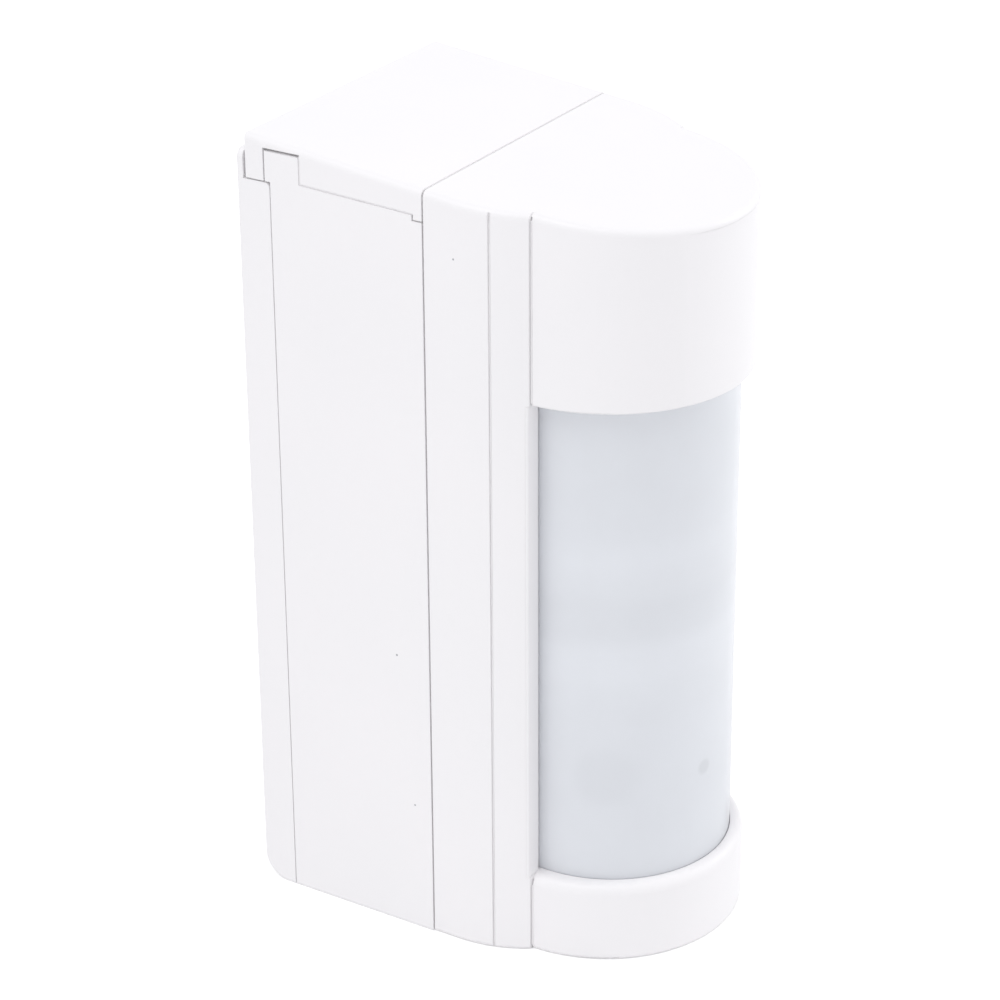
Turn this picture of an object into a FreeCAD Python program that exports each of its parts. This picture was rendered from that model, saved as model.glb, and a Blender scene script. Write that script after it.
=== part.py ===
"""Outdoor PIR motion detector: wall plate, battery back box with its roof cap, and a front cover
whose round nose holds a milky window under a hood. Inside are the base, the panning optical unit,
the circuit boards, the battery holder and two tamper switches.

Millimetres. +Z is up, the nose looks along -Y, the wall is at +Y, and the origin is at the middle
of the footprint, on the flat underside.
"""
import FreeCAD, Part
import math
import os

from FreeCAD import Vector

os.makedirs("parts", exist_ok=True)

# Outer form
body_width = 75.6
box_depth = 47.2            # wall face to the main seam
front_depth = 55.6          # main seam to the nose
height = 186.0              # roof at its rear edge
roof_slope = 5.9            # degrees, falling towards the nose
edge_round = 1.5
seam_gap = 0.35

# Walls
cover_wall = 2.2
box_wall = 2.4
cap_wall = 2.2
cheek_wall = 1.8
plate_sheet = 1.4
strip_wall = 1.6
shell_gap = 0.3             # between moulded shells that close on each other

# Heights that hang from the roof's rear edge
hood_drop = 50.3            # lower edge of the hood
strip_drop = 10.5           # top of the plate's side strips
sheet_drop = 4.0            # top of the plate's rear sheet
tab_drop = 11.6             # lower edge of the cap's small tab
cheek_front_drop = 10.3     # lower edge of the cap's cheeks, at the front
cheek_rear_drop = 9.2       # and at the notch
notch_drop = 3.0
hook_drop = 22.0
ledge_drop = 20.0
board_drop = 25.0           # top of the main board
tamper_drop = 42.5
wall_tamper_drop = 66.0

# Widths that hang from the side of the body
nose_inset = 5.6
jamb_width = 4.3            # nose to window
frame_screw_inset = 0.7     # from the nose's outside
board_inset = 11.8
base_screw_inset = 10.6
ledge_inset = 8.8
wall_tamper_inset = 13.8

# Front cover
shoulder_length = 7.0       # straight side before the shoulder curve starts
shoulder_radius = 29.2
first_groove = 15.65        # from the main seam
second_groove = 23.2
groove_width = 0.45
groove_depth = 0.35
step_groove_width = 0.3      # at the step from shoulder to nose
step_groove_depth = 0.7
collar_top_z = 19.25
collar_round = 2.4
jamb_reach = 22.5           # from the main seam to the front edge of the jambs
jamb_wall = 1.8
shelf_wall = 2.0
hood_pad_angle = 30.0       # half the angle of the slightly flatter field on the hood
hood_pad_depth = 0.2
rib_wall = 1.2
rib_height = 2.5
rib_x = 14.0
rib_front = 18.0            # ahead of the nose's centre
rib_back = 14.0             # ahead of the main seam
cover_screw_reach = 12.0    # ahead of the main seam
cover_boss = 3.0            # height over the floor of the cover
cover_boss_radius = 5.0
lug_gap = 0.4
lug_wall = 5.0
lug_reach = 5.0             # from the cover screw to the front of the lug
tongue_x = 6.0              # half width of the cover's locating tongue
tongue_front = 12.0         # ahead of the main seam
tongue_back = 9.5
tongue_drop = 8.0
touch_gap = 0.2             # rib to the tip of the tamper plunger
touch_half = 1.5
touch_reach = 2.0

# Window
window_setback = 2.9
window_wall = 1.0
window_tuck = 3.0           # hidden height above the upper shelf and below the lower one
window_gap = 0.15
flange_reach = 2.4
flange_wall = 1.2
seal_wall = 0.5
seal_height = 2.5
frame_depth = 5.0
frame_ring_wall = 2.2
frame_post_gap = 0.6
frame_foot_reach = 2.0
frame_ear_wall = 1.8
frame_ear_half = 2.2
frame_ear_height = 4.0
frame_boss_radius = 2.5
frame_screw_reach = 3.6
frame_screw_low = 24.0      # above the collar
frame_screw_high = 20.0     # below the hood

# Wall plate and back box
strip_width = 8.3
foot_round = 6.0
corner_round = 2.0
strip_round = 1.2
wall_screw_x = 46.0
wall_screw_z = 120.0
wall_screw_low_z = 33.0
wall_screw_hole = 4.5
cable_hole = 18.0
cable_z = 100.0
hook_x = 20.0
hook_width = 10.0
hook_height = 5.0
tongue_half = 8.0
tongue_reach = 8.0
lock_screw_reach = 4.0
lock_head_radius = 2.6
lock_boss_top = 12.0
lock_boss_radius = 3.6
lip_width = 8.0             # lip round the mouth of the box
lip_wall = 2.0
room_drop = 2.0
boss_radius = 3.2
base_boss_length = 9.0
base_screw_edge = 9.0       # from the top and bottom edges of the base
ledge_back = 14.0           # behind the main seam
ledge_half = 4.0
ledge_wall = 2.5
cap_thread = 7.0
cap_lip_drop = 4.0
cap_bridge = 3.0
skirt_step = 0.5

# Roof cap cheeks, measured from the main seam
tab_width = 2.2
cheek_length = 30.9
notch_end = 40.4
notch_height = 5.0

# Cable grommet
grommet_neck = 6.0
grommet_flange = 7.8
grommet_bore = 3.0
grommet_inside = 1.5
grommet_outside = 1.0

# Base, gasket and optical unit
gasket_wall = 0.8
gasket_width = 2.4
gasket_drop = 1.5
base_wall = 2.0
base_rim = 3.0
base_rim_wall = 1.4
fit_gap = 0.5               # base edge to the inside of the cover
stop_half = 8.0             # shelf behind the cover's tongue
stop_reach = 9.0
stop_drop = 7.0
stop_wall = 2.0
cable_window_half = 9.0
cable_window_low = 16.0
cable_window_high = 9.0
board_boss_radius = 2.6
carrier_low_z = 56.0
carrier_drop = 2.0          # below the hood
carrier_gap = 2.9           # carrier discs to the outside of the window
pan_lead = 0.55             # pan axis ahead of the window's centre
lens_gap = 0.4              # lens to the edge of the discs
carrier_wall = 1.6
carrier_back = 9.0
carrier_half = 15.0
carrier_step = 0.2
stile_width = 2.0
stile_half = 1.0
lens_wall = 0.8
lens_angle = 80.0
lens_tiers = 3
baffle_z = 86.5
pivot_radius = 3.0
pivot_clearance = 0.08
pivot_end = 0.6
collar_radius = 6.0
arm_wall = 3.0
arm_gap = 0.5
arm_half = 9.0
bracket_wall = 2.0
bracket_half = 15.0
bracket_screw_x = 11.8
bracket_reach = 4.0         # from an arm to the screws of its foot
gusset_length = 12.0
gusset_height = 8.0
sensor_half = 11.0
sensor_gap = 0.5
neck_half = 3.0
neck_gap = 0.3
neck_reach = 1.0
pyro_radius = 4.6
pyro_height = 4.2
pyro_round = 0.6
pyro_rim = 0.5
sight_width = 4.8
sight_height = 3.4
sight_depth = 0.4

# Boards and switches
board_wall = 1.6
standoff = 1.2
screw_edge = 2.8
screw_end = 4.0
main_board_low_z = 44.0
chip_size = 10.0
chip_height = 1.2
chip_z = 92.0
crystal_x = -8.0
crystal_width = 4.0
crystal_length = 11.0
crystal_height = 1.4
crystal_z = 66.0
relay_x = -24.0
relay_width = 8.0
relay_length = 10.0
relay_drop = 11.5
tall_part = 7.0
capacitor_x = -18.6
capacitor_z = 51.0
terminal_poles = 6
terminal_pitch = 6.6
terminal_drop = 12.0
terminal_depth = 10.0
terminal_height = 9.0
terminal_hole = 1.7
terminal_seat = 3.0
clamp_radius = 1.0
clamp_head = 1.2
control_half = 17.0
control_low_z = 28.0
control_high_z = 51.0
control_reach = 36.0        # from the base plate to the front of the apron
control_screw_edge = 5.5
control_screw_drop = 3.5
control_boss_radius = 2.4
apron_inset = 3.0
apron_rise = 2.0
link_half = 6.0
link_z = 46.0
link_gap = 1.0
dip_pitch = 2.54
dip_count = 4
dip_travel = 1.6
dip_depth = 4.0
dip_height = 6.6
dip_x_centre = -8.5
dip_z_centre = 38.0
dip_slot = 1.6
lever_width = 1.0
lever_height = 1.4
lever_out = 0.7
lever_clearance = 0.12
led_x = 2.0
led_z = 38.0
led_radius = 1.5
led_length = 6.0
led_rim_front = 3.2
led_rim_back = 2.4
led_rim = 0.3
switch_half = 3.0
switch_depth = 5.0
switch_back = 0.8
tamper_inset = 5.0          # from the side of the main board
tamper_reach = 9.0
plunger_radius = 1.2
plunger_travel = 1.2
plunger_spare = 0.3
plunger_round = 0.5
plunger_clearance = 0.1
wall_switch_half = 5.0
wall_switch_depth = 9.0
wall_bore = 7.5
wall_plunger_radius = 2.0
wall_plunger_travel = 2.0

# Batteries
cell_radius = 8.5
cell_length = 34.5
cell_count = 3
cell_pitch = 18.4
cell_low_z = 24.0
cell_round = 0.6
knob_radius = 3.2
knob_height = 1.0
holder_wall = 2.0
holder_below = 5.0
holder_above = 4.0
cell_play = 0.5
divider_wall = 1.0
divider_back = 3.0
contact_wall = 0.4
contact_half = 5.0
contact_depth = 6.0
spring_half = 6.0

# Fasteners, thread radius and head sizes
screw_radius = 1.5
screw_head_radius = 2.8
screw_head = 1.9
small_screw_radius = 1.1
small_head_radius = 2.1
small_head = 1.4
slot_half = 0.3
slot_depth = 0.7
thread_clearance = 0.05
hole_clearance = 0.3
screw_spare = 0.4           # end of a screw to the end of its hole
blind_wall = 0.4
past = 1.0                  # how far a cutting tool runs past a face

# Places that follow from the sizes above
half_width = body_width / 2
nose_radius = half_width - nose_inset
window_radius = nose_radius - jamb_width
hood_low_z = height - hood_drop
strip_top_z = height - strip_drop
sheet_top_z = height - sheet_drop
tab_low_z = height - tab_drop
cheek_front_z = height - cheek_front_drop
cheek_rear_z = height - cheek_rear_drop
notch_top_z = height - notch_drop
hook_z = height - hook_drop
ledge_z = height - ledge_drop
main_board_top_z = height - board_drop
tamper_z = height - tamper_drop
wall_tamper_z = height - wall_tamper_drop
wall_tamper_x = half_width - wall_tamper_inset
ledge_x = half_width - ledge_inset
base_screw_x = half_width - base_screw_inset
main_board_half = half_width - board_inset
tamper_x = main_board_half - tamper_inset
frame_screw_x = nose_radius - frame_screw_inset
carrier_radius = window_radius - carrier_gap
lens_radius = carrier_radius - lens_gap
carrier_high_z = hood_low_z - carrier_drop
terminal_z = main_board_top_z - terminal_drop
wall_y = (box_depth + front_depth) / 2
nose_y = -wall_y
seam_y = wall_y - box_depth
cover_back_y = seam_y - seam_gap
nose_centre_y = nose_y + nose_radius
shoulder_start_y = seam_y - shoulder_length
groove_one_y = seam_y - first_groove
groove_two_y = seam_y - second_groove
jamb_y = seam_y - jamb_reach
jamb_back_y = jamb_y + jamb_wall
window_centre_y = nose_y + window_setback + window_radius
shelf_top_z = hood_low_z + shelf_wall
shelf_low_z = collar_top_z - shelf_wall
window_low_z = shelf_low_z - window_tuck
window_high_z = shelf_top_z + window_tuck
flange_y = jamb_back_y + seal_wall
window_back_y = flange_y + flange_wall
frame_back_y = window_back_y + frame_depth
box_rear_y = wall_y - plate_sheet - shell_gap
box_inner_y = box_rear_y - box_wall
strip_seam_y = wall_y - strip_width
base_back_y = seam_y - gasket_wall
base_front_y = base_back_y - base_wall
base_half = half_width - cover_wall - fit_gap
base_low_z = cover_wall + fit_gap
board_back_y = base_front_y - standoff
board_front_y = board_back_y - board_wall
pan_y = window_centre_y - pan_lead
cover_screw_y = seam_y - cover_screw_reach
cover_boss_top = cover_wall + cover_boss
lug_low_z = cover_boss_top + lug_gap
lug_high_z = lug_low_z + lug_wall
tamper_tip_y = board_front_y - tamper_reach
frame_inner = window_radius - window_wall - frame_post_gap
lock_screw_y = strip_seam_y - lock_screw_reach
box_floor_z = strip_wall + box_wall + shell_gap
box_side = half_width - strip_wall - shell_gap
rim_side = half_width - cheek_wall - shell_gap
upper_side = rim_side - box_wall
box_top_drop = cap_wall + shell_gap
ledge_y = seam_y + ledge_back
apron_y = base_front_y - control_reach
arm_top_z = carrier_low_z - arm_gap
arm_low_z = arm_top_z - arm_wall
upper_arm_z = carrier_high_z + arm_gap
sensor_back_y = pan_y + carrier_back - carrier_wall
sensor_face_y = sensor_back_y - board_wall
upper_pyro_z = (carrier_high_z + baffle_z) / 2
lower_pyro_z = (carrier_low_z + baffle_z) / 2
dip_face_y = apron_y - standoff - board_wall - dip_depth
lever_low_z = dip_z_centre - (lever_height + dip_travel) / 2
cell_y = box_inner_y - holder_wall - shell_gap - cell_radius
holder_low_z = cell_low_z - holder_below
holder_high_z = cell_low_z + cell_length + holder_above
holder_half = cell_count * cell_pitch / 2 + holder_wall
slope = math.tan(math.radians(roof_slope))


def roof_z(y):
    return height - (box_rear_y - y) * slope


base_high_z = roof_z(base_front_y) - cover_wall - fit_gap


# Shape helpers

def block(x0, x1, y0, y1, z0, z1):
    return Part.makeBox(x1 - x0, y1 - y0, z1 - z0, Vector(x0, y0, z0))


def upright(x, y, z0, z1, radius):
    return Part.makeCylinder(radius, z1 - z0, Vector(x, y, z0), Vector(0, 0, 1))


def level(x, z, y0, y1, radius):
    """A cylinder along Y."""
    return Part.makeCylinder(radius, y1 - y0, Vector(x, y0, z), Vector(0, 1, 0))


def both_sides(shape):
    return [shape, shape.mirror(Vector(0, 0, 0), Vector(1, 0, 0))]


def join(shapes):
    whole = shapes[0]
    for shape in shapes[1:]:
        whole = whole.fuse(shape)
    return whole.removeSplitter()


def cut(shape, tools):
    for tool in tools:
        shape = shape.cut(tool)
    return shape


def side_profile(points, x0, x1):
    """A Y-Z outline pushed out along X."""
    corners = [Vector(x0, y, z) for y, z in points]
    face = Part.Face(Part.makePolygon(corners + [corners[0]]))
    return face.extrude(Vector(x1 - x0, 0, 0))


def plan(edges, z0, z1):
    """A closed plan outline pushed up along Z."""
    face = Part.Face(Part.Wire(edges))
    face.translate(Vector(0, 0, z0))
    return face.extrude(Vector(0, 0, z1 - z0))


def line(a, b):
    return Part.LineSegment(Vector(a[0], a[1], 0), Vector(b[0], b[1], 0)).toShape()


def arc(a, middle, b):
    ends = [Vector(p[0], p[1], 0) for p in (a, middle, b)]
    return Part.Arc(*ends).toShape()


def under_roof(shape, drop=0.0):
    """Keep what lies at least drop below the roof plane."""
    front = nose_y - 5
    rear = wall_y + 5
    keep = side_profile(
        [(front, -5), (rear, -5), (rear, roof_z(rear) - drop), (front, roof_z(front) - drop)],
        -body_width, body_width)
    return shape.common(keep)


def edges_where(shape, test):
    return [edge for edge in shape.Edges if test(edge)]


def on_roof(edge):
    return all(abs(v.Z - roof_z(v.Y)) < 0.02 for v in edge.Vertexes)


def on_level(edge, z):
    return all(abs(v.Z - z) < 0.02 for v in edge.Vertexes)


def along_x_only(edge):
    return all(abs(v.Y - edge.Vertexes[0].Y) < 0.01 for v in edge.Vertexes)


def nose_outline(radius, centre_y, back_y):
    left = [(-radius, back_y), (-radius, centre_y)]
    right = [(radius, centre_y), (radius, back_y)]
    return [line(left[0], left[1]), arc(left[1], (0, centre_y - radius), right[0]),
            line(right[0], right[1]), line(right[1], left[0])]


def shoulder_x(y, inset=0.0):
    """Half width of the cover at y, on the curve of the shoulder."""
    ahead = max(0.0, shoulder_start_y - y)
    radius = shoulder_radius - inset
    return half_width - shoulder_radius + math.sqrt(radius ** 2 - ahead ** 2)


def shoulder_outline(inset, back_y):
    end_y = groove_two_y + inset
    middle_y = (shoulder_start_y + end_y) / 2
    x = half_width - inset
    end_x = shoulder_x(end_y, inset)
    middle_x = shoulder_x(middle_y, inset)
    return [line((-x, back_y), (-x, shoulder_start_y)),
            arc((-x, shoulder_start_y), (-middle_x, middle_y), (-end_x, end_y)),
            line((-end_x, end_y), (end_x, end_y)),
            arc((end_x, end_y), (middle_x, middle_y), (x, shoulder_start_y)),
            line((x, shoulder_start_y), (x, back_y)),
            line((x, back_y), (-x, back_y))]


def nose_ring(outer, wall, centre_y, back_y, z0, z1):
    """A band that follows the nose, open at the back."""
    solid = plan(nose_outline(outer, centre_y, back_y), z0, z1)
    core = plan(nose_outline(outer - wall, centre_y, back_y + 1), z0, z1)
    return solid.cut(core)


def ring_xz(half, z0, z1, width, y0, y1):
    """A rectangular ring that stands upright, such as a flange or gasket."""
    return block(-half, half, y0, y1, z0, z1).cut(
        block(-half + width, half - width, y0, y1, z0 + width, z1 - width))


def screw(x, z, seat_y, length, radius, head_radius, head):
    """A pan head screw that points along +Y, with its head in front of seat_y."""
    shank = level(x, z, seat_y, seat_y + length, radius)
    top = level(x, z, seat_y - head, seat_y, head_radius)
    rim = edges_where(top, lambda e: all(abs(v.Y - seat_y + head) < 0.01 for v in e.Vertexes))
    top = top.makeFillet(head * 0.4, rim)
    slot = block(x - head_radius, x + head_radius, seat_y - head, seat_y - head / 2,
                 z - slot_half, z + slot_half)
    return top.fuse(shank).cut(slot)


# Front cover

def rounded_shell(outline):
    solid = under_roof(plan(outline, 0, height + 5))
    upper = edges_where(solid, lambda e: on_roof(e) and not along_x_only(e))
    solid = solid.makeFillet(edge_round, upper)
    lower = edges_where(solid, lambda e: on_level(e, 0) and not along_x_only(e))
    return solid.makeFillet(edge_round / 2, lower)


def cover_cavity():
    behind = cover_back_y + past
    body = plan(shoulder_outline(cover_wall, behind), cover_wall, height)
    nose = plan(nose_outline(nose_radius - cover_wall, nose_centre_y, behind), cover_wall, height)
    return under_roof(body.fuse(nose), cover_wall)


def hood_ribs():
    ribs = []
    for x in (-rib_x, 0.0, rib_x):
        rib = block(x - rib_wall / 2, x + rib_wall / 2, nose_centre_y - rib_front,
                    seam_y - rib_back, hood_low_z, height)
        ribs.append(under_roof(rib, cover_wall / 2).cut(under_roof(rib, cover_wall + rib_height)))
    return ribs


def frame_screw_places():
    return [(frame_screw_x, z)
            for z in (collar_top_z + frame_screw_low, hood_low_z - frame_screw_high)]


def front_cover():
    body = rounded_shell(shoulder_outline(0, cover_back_y))
    nose = rounded_shell(nose_outline(nose_radius, nose_centre_y, cover_back_y))
    cover = body.fuse(nose)

    window_core = plan(nose_outline(window_radius, window_centre_y, jamb_y + past),
                       collar_top_z, hood_low_z)
    recess = block(-half_width, half_width, nose_y - past, jamb_y, collar_top_z, hood_low_z)
    cover = cover.cut(recess.cut(window_core))
    collar_edge = edges_where(
        cover, lambda e: on_level(e, collar_top_z) and isinstance(e.Curve, Part.Circle)
        and abs(e.Curve.Radius - nose_radius) < 0.01)
    cover = cover.makeFillet(collar_round, collar_edge)
    hood_edge = edges_where(
        cover, lambda e: on_level(e, hood_low_z) and isinstance(e.Curve, Part.Circle)
        and abs(e.Curve.Radius - nose_radius) < 0.01)
    cover = cover.makeFillet(edge_round / 3, hood_edge)

    cavity = cover_cavity()
    size = body_width
    low = cavity.common(block(-size, size, -size, size, 0, shelf_low_z))
    high = cavity.common(block(-size, size, -size, size, shelf_top_z, height))
    middle = cavity.common(block(-size, size, jamb_back_y, size, shelf_low_z, shelf_top_z))
    slot = plan(nose_outline(window_radius + window_gap, window_centre_y, jamb_back_y + past),
                shelf_low_z, shelf_top_z)
    cover = cut(cover, [low, high, middle, slot])

    details = hood_ribs()
    for x, z in frame_screw_places():
        details += both_sides(level(x, z, window_back_y + window_gap, frame_back_y,
                                    frame_boss_radius))
    details.append(upright(0, cover_screw_y, cover_wall / 2, cover_boss_top, cover_boss_radius))
    details.append(block(tamper_x - touch_reach,
                         shoulder_x(tamper_tip_y - jamb_wall, cover_wall / 2),
                         tamper_tip_y - touch_gap - jamb_wall, tamper_tip_y - touch_gap,
                         tamper_z - touch_half, tamper_z + touch_half))
    locating = block(-tongue_x, tongue_x, seam_y - tongue_front, seam_y - tongue_back,
                     hood_low_z, height)
    details.append(under_roof(locating, cover_wall / 2).cut(
        under_roof(locating, cover_wall + tongue_drop)))
    cover = join([cover] + details)

    grooves = []
    edge_x = shoulder_x(groove_one_y)
    grooves += both_sides(under_roof(
        block(edge_x - groove_depth, half_width + past, groove_one_y - groove_width / 2,
              groove_one_y + groove_width / 2, -past, height), edge_round / 2))
    grooves += both_sides(under_roof(
        block(nose_radius - step_groove_depth, half_width + past, groove_two_y - step_groove_width,
              groove_two_y, -past, height), edge_round / 2))
    for x, z in frame_screw_places():
        grooves += both_sides(level(x, z, frame_back_y - frame_screw_reach, frame_back_y + past,
                                    small_screw_radius + thread_clearance))
    grooves.append(upright(0, cover_screw_y, -past, cover_boss_top + past,
                           screw_radius + hole_clearance))
    grooves.append(upright(0, cover_screw_y, -past, screw_head + hole_clearance,
                           screw_head_radius + hole_clearance))
    grooves.append(hood_pad())
    return cut(cover, grooves)


def hood_pad():
    """What the slightly flatter field on the front of the hood takes off its curve."""
    angle = math.radians(hood_pad_angle)
    x = nose_radius * math.sin(angle)
    y = nose_centre_y - nose_radius * math.cos(angle)
    front = nose_y - past
    field = plan([arc((-x, y), (0, nose_y + hood_pad_depth), (x, y)), line((x, y), (x, front)),
                  line((x, front), (-x, front)), line((-x, front), (-x, y))],
                 hood_low_z - past, height)
    return under_roof(field, edge_round)


# Window, its seal and its clamping frame

def window():
    shell = nose_ring(window_radius, window_wall, window_centre_y, window_back_y,
                      window_low_z, window_high_z)
    flange = block(window_radius - window_wall, window_radius + flange_reach, flange_y,
                   window_back_y, window_low_z, window_high_z)
    return join([shell] + both_sides(flange))


def window_seal():
    upper = nose_ring(window_radius + seal_wall, seal_wall, window_centre_y, flange_y,
                      shelf_top_z, shelf_top_z + seal_height)
    lower = nose_ring(window_radius + seal_wall, seal_wall, window_centre_y, flange_y,
                      shelf_low_z - seal_height, shelf_low_z)
    side = block(window_radius + window_gap, window_radius + flange_reach, jamb_back_y, flange_y,
                 shelf_low_z - seal_height, shelf_top_z + seal_height)
    return join([upper, lower] + both_sides(side))


def window_frame():
    outer = window_radius - window_wall - window_gap
    pieces = []
    for z0 in (shelf_top_z, window_low_z):
        pieces.append(nose_ring(outer, frame_ring_wall, window_centre_y, window_back_y,
                                z0, z0 + window_tuck))
    post = block(frame_inner, frame_screw_x - frame_boss_radius - shell_gap, window_back_y,
                 frame_back_y, window_low_z, window_high_z)
    pieces += both_sides(post)
    for z0 in (shelf_top_z, window_low_z):
        foot = block(outer - frame_ring_wall, outer, window_back_y - frame_foot_reach, frame_back_y,
                     z0, z0 + window_tuck)
        pieces += both_sides(foot)
    for x, z in frame_screw_places():
        ear = block(frame_inner, x + frame_ear_half, frame_back_y,
                    frame_back_y + frame_ear_wall, z - frame_ear_height, z + frame_ear_height)
        pieces += both_sides(ear)
    holes = []
    for x, z in frame_screw_places():
        holes += both_sides(level(x, z, frame_back_y - past, frame_back_y + frame_ear_wall + past,
                                  small_screw_radius + hole_clearance))
    return cut(join(pieces), holes)


def facing_back(shape, seat_y):
    """Turn a screw round so that it points along -Y from seat_y."""
    turned = shape.copy()
    turned.rotate(Vector(0, seat_y, 0), Vector(0, 0, 1), 180)
    return turned


def frame_screws():
    seat = frame_back_y + frame_ear_wall
    screws = []
    for x, z in frame_screw_places():
        one = screw(x, z, seat, frame_ear_wall + frame_screw_reach - screw_spare,
                    small_screw_radius, small_head_radius, small_head)
        screws += both_sides(facing_back(one, seat))
    return Part.makeCompound(screws)


def cover_screw():
    seat = screw_head + hole_clearance
    one = screw(0, 0, 0, lug_high_z - seat - screw_spare, screw_radius, screw_head_radius,
                screw_head)
    one.rotate(Vector(0, 0, 0), Vector(1, 0, 0), 90)
    one.translate(Vector(0, cover_screw_y, seat))
    return one


def screw_washer():
    """The sealing ring that also keeps the cover screw captive."""
    ring = upright(0, cover_screw_y, cover_boss_top, cover_boss_top + lug_gap,
                   screw_head_radius)
    return ring.cut(upright(0, cover_screw_y, 0, lug_high_z, screw_radius + thread_clearance))


# Wall plate

def wall_plate():
    outer = block(-half_width, half_width, strip_seam_y, wall_y, 0, strip_top_z)
    foot = edges_where(outer, lambda e: on_level(e, 0) and
                       all(abs(v.Y - wall_y) < 0.01 for v in e.Vertexes))
    outer = outer.makeFillet(foot_round, foot)
    inner = block(-half_width + strip_wall, half_width - strip_wall, strip_seam_y - past,
                  wall_y - plate_sheet, strip_wall, strip_top_z + past)
    foot = edges_where(inner, lambda e: on_level(e, strip_wall) and
                       all(abs(v.Y - wall_y + plate_sheet) < 0.01 for v in e.Vertexes))
    inner = inner.makeFillet(foot_round - strip_wall, foot)
    plate = outer.cut(inner)
    front_top = edges_where(plate, lambda e: on_level(e, strip_top_z) and
                            all(abs(v.Y - strip_seam_y) < 0.01 for v in e.Vertexes))
    plate = plate.makeFillet(strip_round, front_top)
    sheet = block(-half_width, half_width, wall_y - plate_sheet, wall_y,
                  strip_top_z - past, sheet_top_z)
    corners = edges_where(sheet, lambda e: on_corner(e, half_width, sheet_top_z))
    tongue = block(-tongue_half, tongue_half, strip_seam_y - tongue_reach, strip_seam_y + past,
                   0, strip_wall)
    pieces = [plate, sheet.makeFillet(corner_round, corners), tongue]
    for x in (-hook_x, hook_x):
        pieces.append(block(x - hook_width / 2, x + hook_width / 2,
                            box_inner_y - shell_gap - strip_wall, wall_y - plate_sheet,
                            hook_z, hook_z + strip_wall))
        pieces.append(block(x - hook_width / 2, x + hook_width / 2,
                            box_inner_y - shell_gap - strip_wall, box_inner_y - shell_gap,
                            hook_z, hook_z + hook_height))
    front = wall_y - plate_sheet - past
    holes = [level(x, z, front, wall_y + past, wall_screw_hole / 2)
             for x in (-wall_screw_x / 2, wall_screw_x / 2)
             for z in (wall_screw_low_z, wall_screw_low_z + wall_screw_z)]
    holes.append(level(0, cable_z, front, wall_y + past, cable_hole / 2))
    holes.append(level(wall_tamper_x, wall_tamper_z, front, wall_y + past,
                       wall_plunger_radius + hole_clearance))
    holes.append(lock_screw_shape(hole_clearance / 2))
    return cut(join(pieces), holes)


def on_corner(edge, x, z):
    same_side = abs(edge.Vertexes[0].X - edge.Vertexes[-1].X) < 0.01
    return same_side and all(abs(abs(v.X) - x) < 0.01 and abs(v.Z - z) < 0.01
                             for v in edge.Vertexes)


def lock_screw_shape(grow=0.0):
    """Countersunk head flush with the underside, and a shank that points up."""
    seat = strip_wall
    head = Part.makeCone(lock_head_radius + grow, screw_radius + grow, seat,
                         Vector(0, lock_screw_y, 0), Vector(0, 0, 1))
    shank = upright(0, lock_screw_y, seat, lock_boss_top - screw_spare, screw_radius + grow)
    return head.fuse(shank)


def box_lock_screw():
    slot = block(-lock_head_radius, lock_head_radius, lock_screw_y - slot_half,
                 lock_screw_y + slot_half, 0, slot_depth)
    return lock_screw_shape().cut(slot)


# Back box

def base_screw_places():
    return [(x, z) for x in (-base_screw_x, base_screw_x)
            for z in (base_low_z + base_screw_edge, base_high_z - base_screw_edge)]


def cheek_outline(gap):
    """Side outline of one cheek of the cap; a gap draws it that much larger."""
    rear = box_rear_y + gap
    return [(seam_y, tab_low_z - gap), (seam_y + tab_width + gap, tab_low_z - gap),
            (seam_y + tab_width + gap, cheek_front_z - gap),
            (seam_y + cheek_length + gap, cheek_rear_z - gap),
            (seam_y + cheek_length + gap, notch_top_z - gap),
            (seam_y + notch_end - gap, notch_top_z - gap),
            (seam_y + notch_end - gap, strip_top_z + shell_gap - gap),
            (rear, strip_top_z + shell_gap - gap), (rear, height + past), (seam_y, height + past)]


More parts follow.
